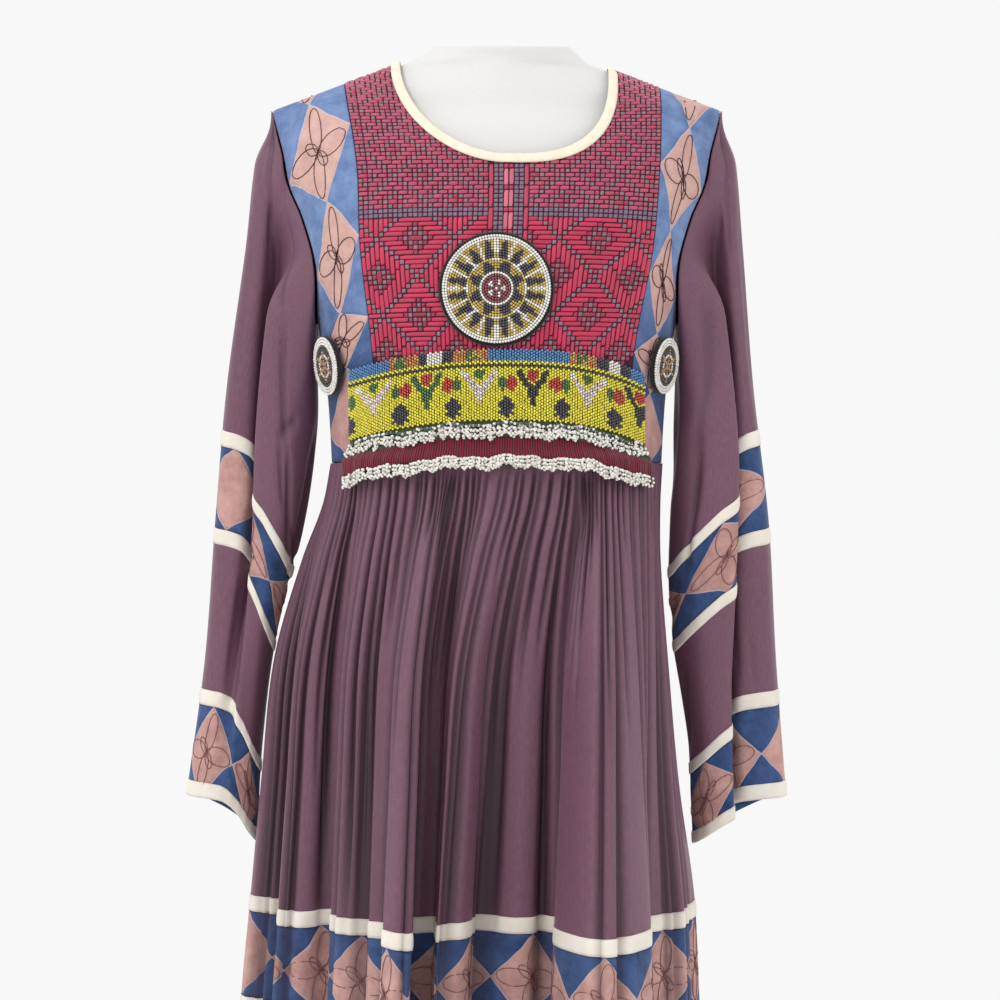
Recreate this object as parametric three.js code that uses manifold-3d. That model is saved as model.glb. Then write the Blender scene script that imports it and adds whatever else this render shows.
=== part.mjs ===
// A kuchi dress worn on a headless dress form: embroidered yoke, patchwork sides, wide banded sleeves,
// a beaded belt with medallions, and a long gathered skirt with a patchwork band.
// Millimetres, +Z up, the front of the dress towards -Y. The origin is the middle of the base's underside.

import * as THREE from "three";
import { mergeVertices } from "three/addons/utils/BufferGeometryUtils.js";
import Module from "manifold-3d";

const wasm = await Module();
wasm.setup();

// Cloth and seams
const CLOTH = 1.4; // thickness of a bodice or sleeve wall
const SKIRT_CLOTH = 1.7; // wall of the gathered skirt at a crest, thinner on a gather's slope
const TAPE = 1.2; // thickness of the cream tape
const SEAM_GAP = 0.3; // clear distance between neighbouring pieces
const TAPE_HEIGHT = 14;
const BODY_SQUARENESS = 2.3; // exponent of the bodice's horizontal sections

// Heights of the bodice and the skirt
const WAIST_Z = 1046;
const ARMPIT_Z = 1170;
const SHOULDER_TIP = { x: 200, z: 1362 };
const NECK_POINT = { x: 99, z: 1401 }; // where the shoulder seam meets the neckline
const SKIRT_TAPE_Z = 659; // top of the skirt's upper tape
const SKIRT_BAND = 76; // height of the skirt's patchwork
const HEM_Z = 200;

// The neckline, as cut before it is bound
const NECK_CENTRE_X = 6.5;
const NECK_HALF_WIDTH = 100.5;
const NECK_DEPTH = { front: 99, back: 22 };
const NECK_ROUNDNESS = { left: 1.9, right: 2.8 };
const NECK_STEPS = { front: 14, back: 10 };
const NECK_CORNER_STEPS = [0, 0.1, 0.25, 0.5]; // closer steps where the neckline crosses the shoulder
const BINDING = { width: 7.5, lift: 0.9, thickness: 1.6, overhang: 1 };

// Horizontal sections of the bodice: half width at the side, depth in front of and behind the axis
const BODICE = [
  { z: 1030, side: 147, front: 111, back: 104 },
  { z: 1100, side: 151, front: 116, back: 104 },
  { z: 1140, side: 156, front: 121, back: 106 },
  { z: 1170, side: 160, front: 124, back: 108 },
  { z: 1215, side: 169, front: 124, back: 110 },
  { z: 1260, side: 180, front: 116, back: 108 },
  { z: 1290, side: 189, front: 106, back: 104 },
  { z: 1320, side: 196, front: 94, back: 98 },
  { z: 1345, side: 201, front: 76, back: 86 },
  { z: 1362, side: 200, front: 62, back: 74 },
  { z: 1380, side: 153, front: 47, back: 61 },
  { z: 1406, side: 86, front: 25, back: 42 },
];

// The armhole line and the yoke's two edges, as seen from the front
const ARMHOLE = [
  { z: 1170, x: 160 },
  { z: 1215, x: 158 },
  { z: 1260, x: 170 },
  { z: 1290, x: 183 },
  { z: 1320, x: 189 },
  { z: 1345, x: 196 },
  { z: 1362, x: 200 },
];
const YOKE_EDGE = [
  { z: 1046, left: -100, right: 112 },
  { z: 1143, left: -107, right: 119 },
  { z: 1228, left: -117, right: 135 },
  { z: 1304, left: -121, right: 142 },
  { z: 1390, left: -137, right: 146 },
];

// Horizontal sections of the dress form's body, its shoulders and its neck
const FORM = [
  { z: 846, side: 100, front: 74, back: 76, squareness: 2.3 },
  { z: 862, side: 115, front: 86, back: 90, squareness: 2.3 },
  { z: 940, side: 121, front: 91, back: 97, squareness: 2.3 },
  { z: 1046, side: 118, front: 84, back: 84, squareness: 2.3 },
  { z: 1120, side: 132, front: 98, back: 90, squareness: 2.3 },
  { z: 1190, side: 148, front: 112, back: 96, squareness: 2.3 },
  { z: 1250, side: 162, front: 106, back: 98, squareness: 2.3 },
  { z: 1300, side: 174, front: 92, back: 92, squareness: 2.2 },
  { z: 1335, side: 181, front: 76, back: 80, squareness: 2 },
  { z: 1356, side: 174, front: 60, back: 64, squareness: 1.7 },
  { z: 1376, side: 158.8, front: 52, back: 56, squareness: 1.5 },
  { z: 1397, side: 104.4, front: 44, back: 44, squareness: 1.4 },
  { z: 1406, side: 80.9, front: 42, back: 42, squareness: 1.8 },
  { z: 1421, side: 61, front: 42, back: 42, squareness: 2 },
];
const FORM_COLUMNS = 24;
const NECK_CUT_SLOPE = 0.2; // the neck's flat top leans forward
const POLE_RADIUS = 14;
const BASE = { radius: 200, edge: 10, crown: 22, bossRadius: 30, bossHeight: 40 };

// Skirt: how far the cloth has spread from the waist to the band's folds, less on its right side where
// the sleeve rests against it, and the depth of the gathers
const SKIRT = [
  { z: 1046, spread: 0, rightSpread: 0, gather: 8 },
  { z: 1010, spread: 0.1, rightSpread: -0.1, gather: 9 },
  { z: 960, spread: 0.36, rightSpread: -0.12, gather: 8 },
  { z: 870, spread: 0.71, rightSpread: 0.14, gather: 5 },
  { z: 760, spread: 0.87, rightSpread: 0.5, gather: 2 },
  { z: 659, spread: 1, rightSpread: 1, gather: 0 },
  { z: 563, spread: 1.12, rightSpread: 1.16, gather: 0 },
  { z: 200, spread: 1.36, rightSpread: 1.6, gather: 0 },
];
const WAIST = { side: 149, front: 113, back: 106, squareness: 2.2 };

// The cloth's line at the band, once round from the left edge by the front, with the number of steps
// to each point. The folds lap unevenly, some near and some set back.
const BAND_LINE = [
  { x: -222, y: 4, steps: 2 },
  { x: -212, y: -20, steps: 2 },
  { x: -191, y: -36, steps: 2 },
  { x: -187, y: -84, steps: 3 },
  { x: -165, y: -88, steps: 2 },
  { x: -143, y: -76, steps: 2 },
  { x: -140, y: -108, steps: 3 },
  { x: -112, y: -130, steps: 3 },
  { x: -99, y: -136, steps: 1 },
  { x: -93, y: -168, steps: 2 },
  { x: -71, y: -190, steps: 2 },
  { x: -70, y: -118, steps: 3 },
  { x: -53, y: -110, steps: 2 },
  { x: -49, y: -152, steps: 3 },
  { x: -28, y: -138, steps: 2 },
  { x: -8, y: -108, steps: 3 },
  { x: 18, y: -116, steps: 2 },
  { x: 47, y: -112, steps: 2 },
  { x: 50, y: -166, steps: 3 },
  { x: 86, y: -212, steps: 4 },
  { x: 126, y: -168, steps: 4 },
  { x: 132, y: -108, steps: 3 },
  { x: 158, y: -92, steps: 2 },
  { x: 170, y: -50, steps: 3 },
  { x: 178, y: -8, steps: 3 },
  { x: 160, y: 40, steps: 3 },
  { x: 166, y: 84, steps: 3 },
  { x: 128, y: 88, steps: 3 },
  { x: 112, y: 136, steps: 3 },
  { x: 74, y: 118, steps: 3 },
  { x: 44, y: 162, steps: 3 },
  { x: 8, y: 132, steps: 4 },
  { x: -30, y: 166, steps: 3 },
  { x: -64, y: 130, steps: 3 },
  { x: -106, y: 148, steps: 3 },
  { x: -136, y: 104, steps: 3 },
  { x: -176, y: 106, steps: 3 },
  { x: -188, y: 62, steps: 3 },
  { x: -214, y: 40, steps: 3 },
];

// Sleeves: length along the outer edge, and where the outer edge, the front crease and the inner edge hang
const SLEEVE = { length: 617, underarm: 468, cloth: 1.4 };
const SLEEVE_TAPES = [286, 374, 520, 603]; // top of each tape, from the shoulder, along the outer edge
const SLEEVE_HANG = {
  left: [
    { t: 0.0, outer: 203, crease: 196, inner: 160, centre: 0, depth: 42, groove: 0 },
    { t: 0.06, outer: 215.5, crease: 198.5, inner: 160, centre: 1, depth: 42, groove: 0.45 },
    { t: 0.2, outer: 226, crease: 204, inner: 161, centre: 4, depth: 42, groove: 0.8 },
    { t: 0.4, outer: 244, crease: 211, inner: 175, centre: 10, depth: 40, groove: 1 },
    { t: 0.6, outer: 256, crease: 219, inner: 200, centre: 20, depth: 36, groove: 0.8 },
    { t: 0.8, outer: 266, crease: 230, inner: 213, centre: 27, depth: 32, groove: 0.35 },
    { t: 1.0, outer: 283, crease: 244, inner: 219, centre: 30, depth: 29, groove: 0 },
  ],
  right: [
    { t: 0.0, outer: 203, crease: 194, inner: 160, centre: 0, depth: 42, groove: 0 },
    { t: 0.06, outer: 213.5, crease: 197, inner: 159, centre: 0, depth: 42, groove: 0.45 },
    { t: 0.2, outer: 221, crease: 203, inner: 157, centre: 0, depth: 42, groove: 0.8 },
    { t: 0.4, outer: 230, crease: 207, inner: 153, centre: -2, depth: 44, groove: 1 },
    { t: 0.6, outer: 245, crease: 206, inner: 158, centre: 2, depth: 42, groove: 1 },
    { t: 0.8, outer: 253, crease: 206, inner: 172, centre: 12, depth: 36, groove: 0.9 },
    { t: 1.0, outer: 263, crease: 210, inner: 178, centre: 18, depth: 32, groove: 0.8 },
  ],
};

// The sleeve's section, once round from the outer edge by the front. The outer lobe runs from the outer
// edge to the crease and the inner lobe from the crease to the inner edge. Depths are shares of the
// half depth, to the front. The drop is a share of the tape's fall. Across, depth and drop are given with
// the crease, and whole, plain and level without it.
const SLEEVE_SECTION = [
  { turn: 0, lobe: "outer", across: 0, depth: -0.15, whole: 0, plain: 0, drop: 0, level: 0 },
  { turn: 28, lobe: "outer", across: 0.15, depth: 0.4, whole: 0.06, plain: 0.47, drop: 0.01, level: 0 },
  { turn: 52, lobe: "outer", across: 0.5, depth: 0.5, whole: 0.19, plain: 0.79, drop: 0.04, level: 0.01 },
  { turn: 68, lobe: "outer", across: 0.8, depth: 0.42, whole: 0.31, plain: 0.93, drop: 0.09, level: 0.02 },
  { turn: 80, lobe: "outer", across: 0.96, depth: 0, whole: 0.41, plain: 0.98, drop: 0.19, level: 0.04 },
  { turn: 90, lobe: "inner", across: 0.08, depth: -0.3, whole: 0.5, plain: 1, drop: 0.28, level: 0.06 },
  { turn: 98, lobe: "inner", across: 0.2, depth: 0.05, whole: 0.57, plain: 0.99, drop: 0.38, level: 0.1 },
  { turn: 108, lobe: "inner", across: -0.14, depth: 0.76, whole: 0.65, plain: 0.95, drop: 0.48, level: 0.18 },
  { turn: 124, lobe: "inner", across: 0.2, depth: 0.95, whole: 0.78, plain: 0.83, drop: 0.6, level: 0.4 },
  { turn: 146, lobe: "inner", across: 0.66, depth: 0.84, whole: 0.91, plain: 0.56, drop: 0.8, level: 0.75 },
  { turn: 180, lobe: "inner", across: 1, depth: 0.05, whole: 1, plain: 0, drop: 1, level: 1 },
  { turn: 222, lobe: "both", across: 0.8, depth: -0.55, whole: 0.87, plain: -0.67, drop: 0.75, level: 0.75 },
  { turn: 266, lobe: "both", across: 0.48, depth: -0.68, whole: 0.53, plain: -0.9, drop: 0.4, level: 0.4 },
  { turn: 316, lobe: "both", across: 0.17, depth: -0.55, whole: 0.14, plain: -0.69, drop: 0.1, level: 0.1 },
];
const SECTION_STEPS = 2; // points of a ring for each row of the section
const ARMHOLE_GAP = 2.1; // how far the sleeve's edge lies outside the armhole's
const ARMHOLE_BLEND = 0.26; // share of the sleeve over which it leaves the armhole's shape
const SHOULDER_BLEND = 0.3; // how quick that is at the shoulder, as a share of the blend at the armpit

// The beaded belt on the front of the waist, its layers listed from the top
const BELT = { left: -126, right: 127, top: 1141, sagLeft: 16, sagRight: 20, lift: 1.2 };
const BELT_SAG_POWER = { left: 2, right: 3 };
const BELT_COLUMNS = 18;
const BELT_LAYERS = [
  { name: "belt_bead_edging", height: 10, thickness: 3, wave: 0 },
  { name: "belt_beaded_panel", height: 50, thickness: 3.4, wave: 0 },
  { name: "belt_bead_fringe_upper", height: 15, thickness: 5, wave: 2.2 },
  { name: "belt_red_tape", height: 12, thickness: 2.2, wave: 0 },
  { name: "belt_bead_fringe_lower", height: 12, thickness: 5, wave: 2.2 },
];
const FRINGE_WAVES = 13;

// Medallions: the middle of each and its beaded radius; a stiff one stays flat where the body curves
const MEDALLIONS = [
  { name: "front_medallion", x: 0, z: 1191, radius: 46, isStiff: false },
  { name: "left_medallion", x: -144, z: 1131, radius: 25, isStiff: true },
  { name: "right_medallion", x: 143, z: 1131, radius: 24, isStiff: true },
];
const MEDALLION = { felt: 2.2, feltMargin: 2.5, beads: 4.2, lift: 1.4, sides: 20 };

const COLOURS = {
  plumCloth: 0x6b4258,
  patchwork: 0x9b7a7c,
  tape: 0xe9e2d4,
  redEmbroidery: 0xb5294a,
  binding: 0xefe4cf,
  blueBeads: 0x4d86b5,
  yellowBeads: 0xdccb2a,
  whiteBeads: 0xf1efe9,
  redTape: 0x8c1f3c,
  felt: 0x151216,
  formJersey: 0xeeecea,
  steel: 0x8d8f92,
};

const dress = new THREE.Group();

// Adds one named piece with its own material.
function addPiece(name, geometry, colour, roughness = 0.9, metalness = 0) {
  const material = new THREE.MeshStandardMaterial({ color: colour, roughness, metalness });
  const mesh = new THREE.Mesh(geometry, material);
  mesh.name = name;
  dress.add(mesh);
  return mesh;
}

const mix = THREE.MathUtils.lerp;

// Reads a column of a table at the given key, along a smooth curve through its rows.
function read(table, key, at, column) {
  const last = table.length - 1;
  const rising = table[last][key] > table[0][key];
  let row = 0;
  while (row < last - 1 && (rising ? at > table[row + 1][key] : at < table[row + 1][key])) row++;
  const [a, b] = [table[row], table[row + 1]];
  const span = b[key] - a[key];
  const share = THREE.MathUtils.clamp((at - a[key]) / span, 0, 1);
  const slope = (i) => {
    if (i === 0 || i === last) return (b[column] - a[column]) / span;
    const [before, after] = [table[i - 1], table[i + 1]];
    return (after[column] - before[column]) / (after[key] - before[key]);
  };
  const [s2, s3] = [share * share, share ** 3];
  return (
    (2 * s3 - 3 * s2 + 1) * a[column] +
    (s3 - 2 * s2 + share) * span * slope(row) +
    (3 * s2 - 2 * s3) * b[column] +
    (s3 - s2) * span * slope(row + 1)
  );
}

// The straight shoulder line of the bodice: its half width at a height, and its height at a distance.
const shoulderSlope = (NECK_POINT.x - SHOULDER_TIP.x) / (NECK_POINT.z - SHOULDER_TIP.z);
const shoulderX = (z) => SHOULDER_TIP.x + (z - SHOULDER_TIP.z) * shoulderSlope;
const shoulderZ = (x) => SHOULDER_TIP.z + (Math.abs(x) - SHOULDER_TIP.x) / shoulderSlope;
const bodiceSide = (z) => (z > SHOULDER_TIP.z ? shoulderX(z) : read(BODICE, "z", z, "side"));
const armholeX = (z) => (z < ARMPIT_Z ? bodiceSide(z) : read(ARMHOLE, "z", z, "x"));

// Distance from the axis to the bodice, in front or behind, at a point seen from the front.
function bodiceDepth(x, z, face) {
  const share = Math.min(1, Math.abs(x) / bodiceSide(z));
  return read(BODICE, "z", z, face) * (1 - share ** BODY_SQUARENESS) ** (1 / BODY_SQUARENESS);
}

// Height of the neckline over x; inset is how far inside the cut edge the line runs.
function necklineZ(x, face, inset = 0) {
  const half = NECK_HALF_WIDTH - inset;
  const across = Math.min(1, Math.abs(x - NECK_CENTRE_X) / half);
  const roundness = face === "front" ? NECK_ROUNDNESS[x < NECK_CENTRE_X ? "left" : "right"] : 2.4;
  const [zLeft, zRight] = [shoulderZ(NECK_CENTRE_X - half), shoulderZ(NECK_CENTRE_X + half)];
  const shoulder = mix(zLeft, zRight, (x - NECK_CENTRE_X + half) / (2 * half));
  const rise = shoulderZ(half) - shoulderZ(NECK_HALF_WIDTH);
  const depth = NECK_DEPTH[face] + rise - inset;
  return shoulder - depth * (1 - across ** roundness) ** (1 / roundness);
}

// Positions across the neckline of its points, from the left shoulder to the right.
function necklineXs(face, inset) {
  const half = NECK_HALF_WIDTH - inset;
  const last = NECK_STEPS[face];
  const whole = Array.from({ length: last - 1 }, (_, i) => i + 1);
  const steps = [...NECK_CORNER_STEPS, ...whole, ...NECK_CORNER_STEPS.map((s) => last - s).reverse()];
  return steps.map((step) => NECK_CENTRE_X - half * Math.cos((Math.PI * step) / last));
}

// Direction out of the bodice at a point of it.
function bodiceNormal({ x, y, z }) {
  const face = y < 0 ? "front" : "back";
  const [side, depth] = [bodiceSide(z), read(BODICE, "z", z, face)];
  const sideSlope = (bodiceSide(z + 1) - bodiceSide(z - 1)) / 2;
  const depthSlope = (read(BODICE, "z", z + 1, face) - read(BODICE, "z", z - 1, face)) / 2;
  const [across, along] = [Math.min(1, Math.abs(x) / side), Math.min(1, Math.abs(y) / depth)];
  const p = BODY_SQUARENESS;
  return new THREE.Vector3(
    (Math.sign(x) * across ** (p - 1)) / side,
    (Math.sign(y) * along ** (p - 1)) / depth,
    -(across ** p * sideSlope) / side - (along ** p * depthSlope) / depth,
  ).normalize();
}

// Points of the bodice moved out of it, or into it by a negative distance.
const offBodice = (rows, distance) =>
  rows.map((row) => row.map((p) => p.clone().addScaledVector(bodiceNormal(p), distance)));

// Joins rows of points into a closed wall between an outer and an inner face.
function wallGeometry(outer, inner, isTube) {
  const positions = [];
  const triangles = [];
  const place = (rows) =>
    rows.map((row) => row.map((p) => positions.push(p.x, p.y, p.z) / 3 - 1));
  const [front, back] = [place(outer), place(inner)];
  const quad = (a, b, c, d) => triangles.push(a, b, c, a, c, d);
  const columns = outer[0].length;
  const lastRow = outer.length - 1;
  const steps = isTube ? columns : columns - 1;
  for (let i = 0; i < steps; i++) {
    const j = (i + 1) % columns;
    for (let r = 0; r < lastRow; r++) {
      quad(front[r][i], front[r + 1][i], front[r + 1][j], front[r][j]);
      quad(back[r][i], back[r][j], back[r + 1][j], back[r + 1][i]);
    }
    quad(front[0][i], front[0][j], back[0][j], back[0][i]);
    quad(front[lastRow][i], back[lastRow][i], back[lastRow][j], front[lastRow][j]);
  }
  if (!isTube) {
    const end = columns - 1;
    for (let r = 0; r < lastRow; r++) {
      quad(front[r][0], back[r][0], back[r + 1][0], front[r + 1][0]);
      quad(back[r][end], front[r][end], front[r + 1][end], back[r + 1][end]);
    }
  }
  return facingOut(positions, triangles);
}

// A geometry whose faces point out of the body that they close.
function facingOut(positions, triangles) {
  const at = (i) => new THREE.Vector3().fromArray(positions, 3 * i);
  let volume = 0;
  for (let i = 0; i < triangles.length; i += 3)
    volume += at(triangles[i]).dot(at(triangles[i + 1]).cross(at(triangles[i + 2])));
  if (volume < 0) triangles.reverse();
  const geometry = new THREE.BufferGeometry();
  geometry.setAttribute("position", new THREE.Float32BufferAttribute(positions, 3));
  geometry.setIndex(triangles);
  geometry.computeVertexNormals();
  return geometry;
}

// Rows of points moved along the surface's normal; a positive distance moves them outwards, away from
// the middle of a tube or from the body's axis.
function movedOut(rows, isTube, distance) {
  const columns = rows[0].length;
  const pick = (r, c) => {
    const row = rows[THREE.MathUtils.clamp(r, 0, rows.length - 1)];
    return row[isTube ? (c + columns) % columns : THREE.MathUtils.clamp(c, 0, columns - 1)];
  };
  const middle = new THREE.Vector3();
  if (isTube) rows.flat().forEach((p) => middle.addScaledVector(p, 1 / (columns * rows.length)));
  const direction = (from, to) => to.clone().sub(from).normalize();
  let facing = 0;
  const normals = rows.map((row, r) =>
    row.map((p, c) => {
      const along = direction(pick(r, c - 1), p).add(direction(p, pick(r, c + 1)));
      const down = direction(pick(r - 1, c), p).add(direction(p, pick(r + 1, c)));
      const normal = down.cross(along).normalize();
      facing += normal.x * (p.x - middle.x) + normal.y * (p.y - middle.y);
      return normal;
    }),
  );
  // Rows at the two sides of a seam share their normals.
  for (let r = 0; r < rows.length - 1; r++) {
    if (rows[r][0].distanceTo(rows[r + 1][0]) > 2 * SEAM_GAP) continue;
    normals[r].forEach((normal, c) => {
      normal.add(normals[r + 1][c]).normalize();
      normals[r + 1][c].copy(normal);
    });
  }
  const signed = distance * Math.sign(facing);
  return rows.map((row, r) => row.map((p, c) => p.clone().addScaledVector(normals[r][c], signed)));
}

// One geometry with another cut away from it.
function cutAway(geometry, cutter) {
  const solidOf = (g) => {
    const plain = new THREE.BufferGeometry();
    plain.setAttribute("position", g.getAttribute("position"));
    if (g.index) plain.setIndex(g.index);
    const merged = mergeVertices(plain, 1e-4);
    const vertProperties = new Float32Array(merged.getAttribute("position").array);
    const triVerts = new Uint32Array(merged.index.array);
    return new wasm.Manifold(new wasm.Mesh({ numProp: 3, vertProperties, triVerts }));
  };
  const mesh = solidOf(geometry).subtract(solidOf(cutter)).getMesh();
  return facingOut(Array.from(mesh.vertProperties), Array.from(mesh.triVerts));
}

// Bodice panels are seen from the front as an area between two edges, from the waist up to the
// shoulder line. A column's top is found by halving.
function bodicePanel({ left, right, columns, rows, face }) {
  const sign = face === "front" ? -1 : 1;
  const keepClear = (p) => {
    p.y = sign * Math.max(sign * p.y, SEAM_GAP / 2);
    return p;
  };
  const columnTop = (u) => {
    let [low, high] = [1280, NECK_POINT.z + 12];
    for (let i = 0; i < 40; i++) {
      const z = (low + high) / 2;
      if (Math.abs(mix(left(z), right(z), u)) <= bodiceSide(z)) low = z;
      else high = z;
    }
    return low;
  };
  const tops = columns.map(columnTop);
  const grid = [];
  for (let r = 0; r <= rows; r++) {
    const share = 1 - (1 - r / rows) ** 2; // rows close up towards the rounded shoulder
    grid.push(
      columns.map((u, c) => {
        const z = mix(WAIST_Z + SEAM_GAP, tops[c], share);
        const x = mix(left(z), right(z), u);
        return keepClear(new THREE.Vector3(x, sign * bodiceDepth(x, z, face), z));
      }),
    );
  }
  const inner = offBodice(grid, -CLOTH).map((row) => row.map(keepClear));
  inner[0].forEach((p, c) => (p.z = grid[0][c].z));
  return wallGeometry(grid, inner, false);
}

// The neck opening as a block over one face of the bodice. The binding laid on the edge overhangs it.
function neckCutter(face) {
  const inset = BINDING.width - BINDING.overhang;
  const outline = necklineXs(face, inset).map((x) => new THREE.Vector2(x, necklineZ(x, face, inset)));
  const [first, last] = [outline[0], outline[outline.length - 1]];
  outline.unshift(new THREE.Vector2(first.x, NECK_POINT.z + 60));
  outline.push(new THREE.Vector2(last.x, NECK_POINT.z + 60));
  const block = new THREE.ExtrudeGeometry(new THREE.Shape(outline), { depth: 200, bevelEnabled: false });
  block.rotateX(Math.PI / 2);
  return block.translate(0, face === "front" ? 0 : 200, 0);
}

function addBodice() {
  const half = SEAM_GAP / 2;
  const yokeLeft = (z) => read(YOKE_EDGE, "z", z, "left");
  const yokeRight = (z) => read(YOKE_EDGE, "z", z, "right");
  const rows = 8;
  const yoke = bodicePanel({
    left: (z) => yokeLeft(z) + half,
    right: (z) => yokeRight(z) - half,
    columns: [0, 0.1, 0.2, 0.35, 0.5, 0.65, 0.8, 0.9, 1],
    rows,
    face: "front",
  });
  addPiece("front_yoke", cutAway(yoke, neckCutter("front")), COLOURS.redEmbroidery);
  const back = bodicePanel({
    left: (z) => -armholeX(z) + half,
    right: (z) => armholeX(z) - half,
    columns: [0, 0.03, 0.11, 0.22, 0.36, 0.5, 0.64, 0.78, 0.89, 0.97, 1],
    rows,
    face: "back",
  });
  addPiece("back", cutAway(back, neckCutter("back")), COLOURS.plumCloth);
  const sideColumns = [0, 0.45, 0.78, 0.94, 1]; // closer towards the side seam, where the body turns
  const sideRight = bodicePanel({
    left: (z) => yokeRight(z) + half,
    right: (z) => armholeX(z) - half,
    columns: sideColumns,
    rows,
    face: "front",
  });
  addPiece("side_front_right", sideRight, COLOURS.patchwork);
  const sideLeft = bodicePanel({
    left: (z) => -armholeX(z) + half,
    right: (z) => yokeLeft(z) - half,
    columns: sideColumns.map((u) => 1 - u).reverse(),
    rows,
    face: "front",
  });
  addPiece("side_front_left", sideLeft, COLOURS.patchwork);
}

// The binding runs over the neckline's points, once round by the front and back again behind.
function addNeckBinding() {
  const edge = (inset) => {
    const points = (face) =>
      necklineXs(face, inset).map((x) => {
        const z = necklineZ(x, face, inset);
        const depth = bodiceDepth(x, z, face);
        return new THREE.Vector3(x, face === "front" ? -depth : depth, z);
      });
    return [...points("front"), ...points("back").slice(1, -1).reverse()];
  };
  const rows = [edge(0), edge(BINDING.width)];
  const outer = offBodice(rows, BINDING.lift + BINDING.thickness);
  const inner = offBodice(rows, BINDING.lift);
  addPiece("neck_binding", wallGeometry(outer, inner, true), COLOURS.binding);
}

const signedPower = (value, power) => Math.sign(value) * Math.abs(value) ** power;

// The band's line as evenly many points as its rows ask for, each with its share of the way round.
function bandPoints() {
  const corners = BAND_LINE.map(({ x, y }) => new THREE.Vector3(x, y, 0));
  const curve = new THREE.CatmullRomCurve3(corners, true, "centripetal");
  return BAND_LINE.flatMap(({ steps }, row) =>
    Array.from({ length: steps }, (_, i) => curve.getPoint((row + i / steps) / corners.length)),
  );
}

// Rings of the skirt's outer face at the given heights.
function skirtRows(heights) {
  const band = bandPoints();
  const count = band.length;
  const lengths = band.map((p, i) => p.distanceTo(band[(i + 1) % count]));
  const total = lengths.reduce((sum, length) => sum + length, 0);
  let walked = 0;
  const waist = lengths.map((length, i) => {
    // At the waist the cloth is drawn up evenly, half by its length and half by its number of points.
    const turn = Math.PI * (1 + walked / total + i / count);
    walked += length;
    const depth = Math.sin(turn) < 0 ? WAIST.front : WAIST.back;
    const power = 2 / WAIST.squareness;
    return new THREE.Vector3(
      WAIST.side * signedPower(Math.cos(turn), power),
      depth * signedPower(Math.sin(turn), power),
      0,
    );
  });
  return heights.map((z) => {
    const [spread, rightSpread] = [read(SKIRT, "z", z, "spread"), read(SKIRT, "z", z, "rightSpread")];
    const gather = read(SKIRT, "z", z, "gather");
    return band.map((p, i) => {
      const point = waist[i].clone().lerp(p, spread).setZ(z);
      const sideways = mix(spread, rightSpread, THREE.MathUtils.smoothstep(waist[i].x, 60, 145));
      point.x = mix(waist[i].x, p.x, sideways);
      const inward = new THREE.Vector3(-point.x, -point.y, 0).normalize();
      return i % 2 ? point.addScaledVector(inward, gather) : point;
    });
  });
}

function addSkirt() {
  const bandTop = SKIRT_TAPE_Z - TAPE_HEIGHT;
  const bandBottom = bandTop - SKIRT_BAND;
  const lowerTop = bandBottom - SEAM_GAP;
  const heights = [
    WAIST_Z - SEAM_GAP,
    1010,
    960,
    870,
    760,
    SKIRT_TAPE_Z,
    bandTop,
    bandTop - SEAM_GAP,
    bandBottom,
    lowerTop,
    lowerTop - TAPE_HEIGHT,
    HEM_Z,
  ];
  const rows = skirtRows(heights);
  const inner = movedOut(rows, true, -SKIRT_CLOTH);
  const under = movedOut(rows, true, SEAM_GAP + 0.1);
  const over = movedOut(rows, true, SEAM_GAP + 0.1 + TAPE);
  const piece = (name, outside, inside, first, last, colour) => {
    const [from, to] = [heights.indexOf(first), heights.indexOf(last) + 1];
    const geometry = wallGeometry(outside.slice(from, to), inside.slice(from, to), true);
    addPiece(name, geometry, colour);
  };
  piece("skirt_upper", rows, inner, heights[0], bandTop, COLOURS.plumCloth);
  piece("skirt_patchwork", rows, inner, bandTop - SEAM_GAP, bandBottom, COLOURS.patchwork);
  piece("skirt_lower", rows, inner, lowerTop, HEM_Z, COLOURS.plumCloth);
  piece("skirt_tape_upper", over, under, SKIRT_TAPE_Z, bandTop, COLOURS.tape);
  piece("skirt_tape_lower", over, under, lowerTop, lowerTop - TAPE_HEIGHT, COLOURS.tape);
}

// The armhole's edge on the bodice; turn 0 is the shoulder, a quarter turn the front.
function armholePoint(turn, side) {
  const z = mix(SHOULDER_TIP.z, ARMPIT_Z, (1 - Math.cos(turn)) / 2);
  const x = armholeX(z);
  const face = Math.sin(turn) > 0 ? "front" : "back";
  const depth = bodiceDepth(x, z, face);
  return new THREE.Vector3(side * (x + ARMHOLE_GAP), face === "front" ? -depth : depth, z);
}

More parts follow.
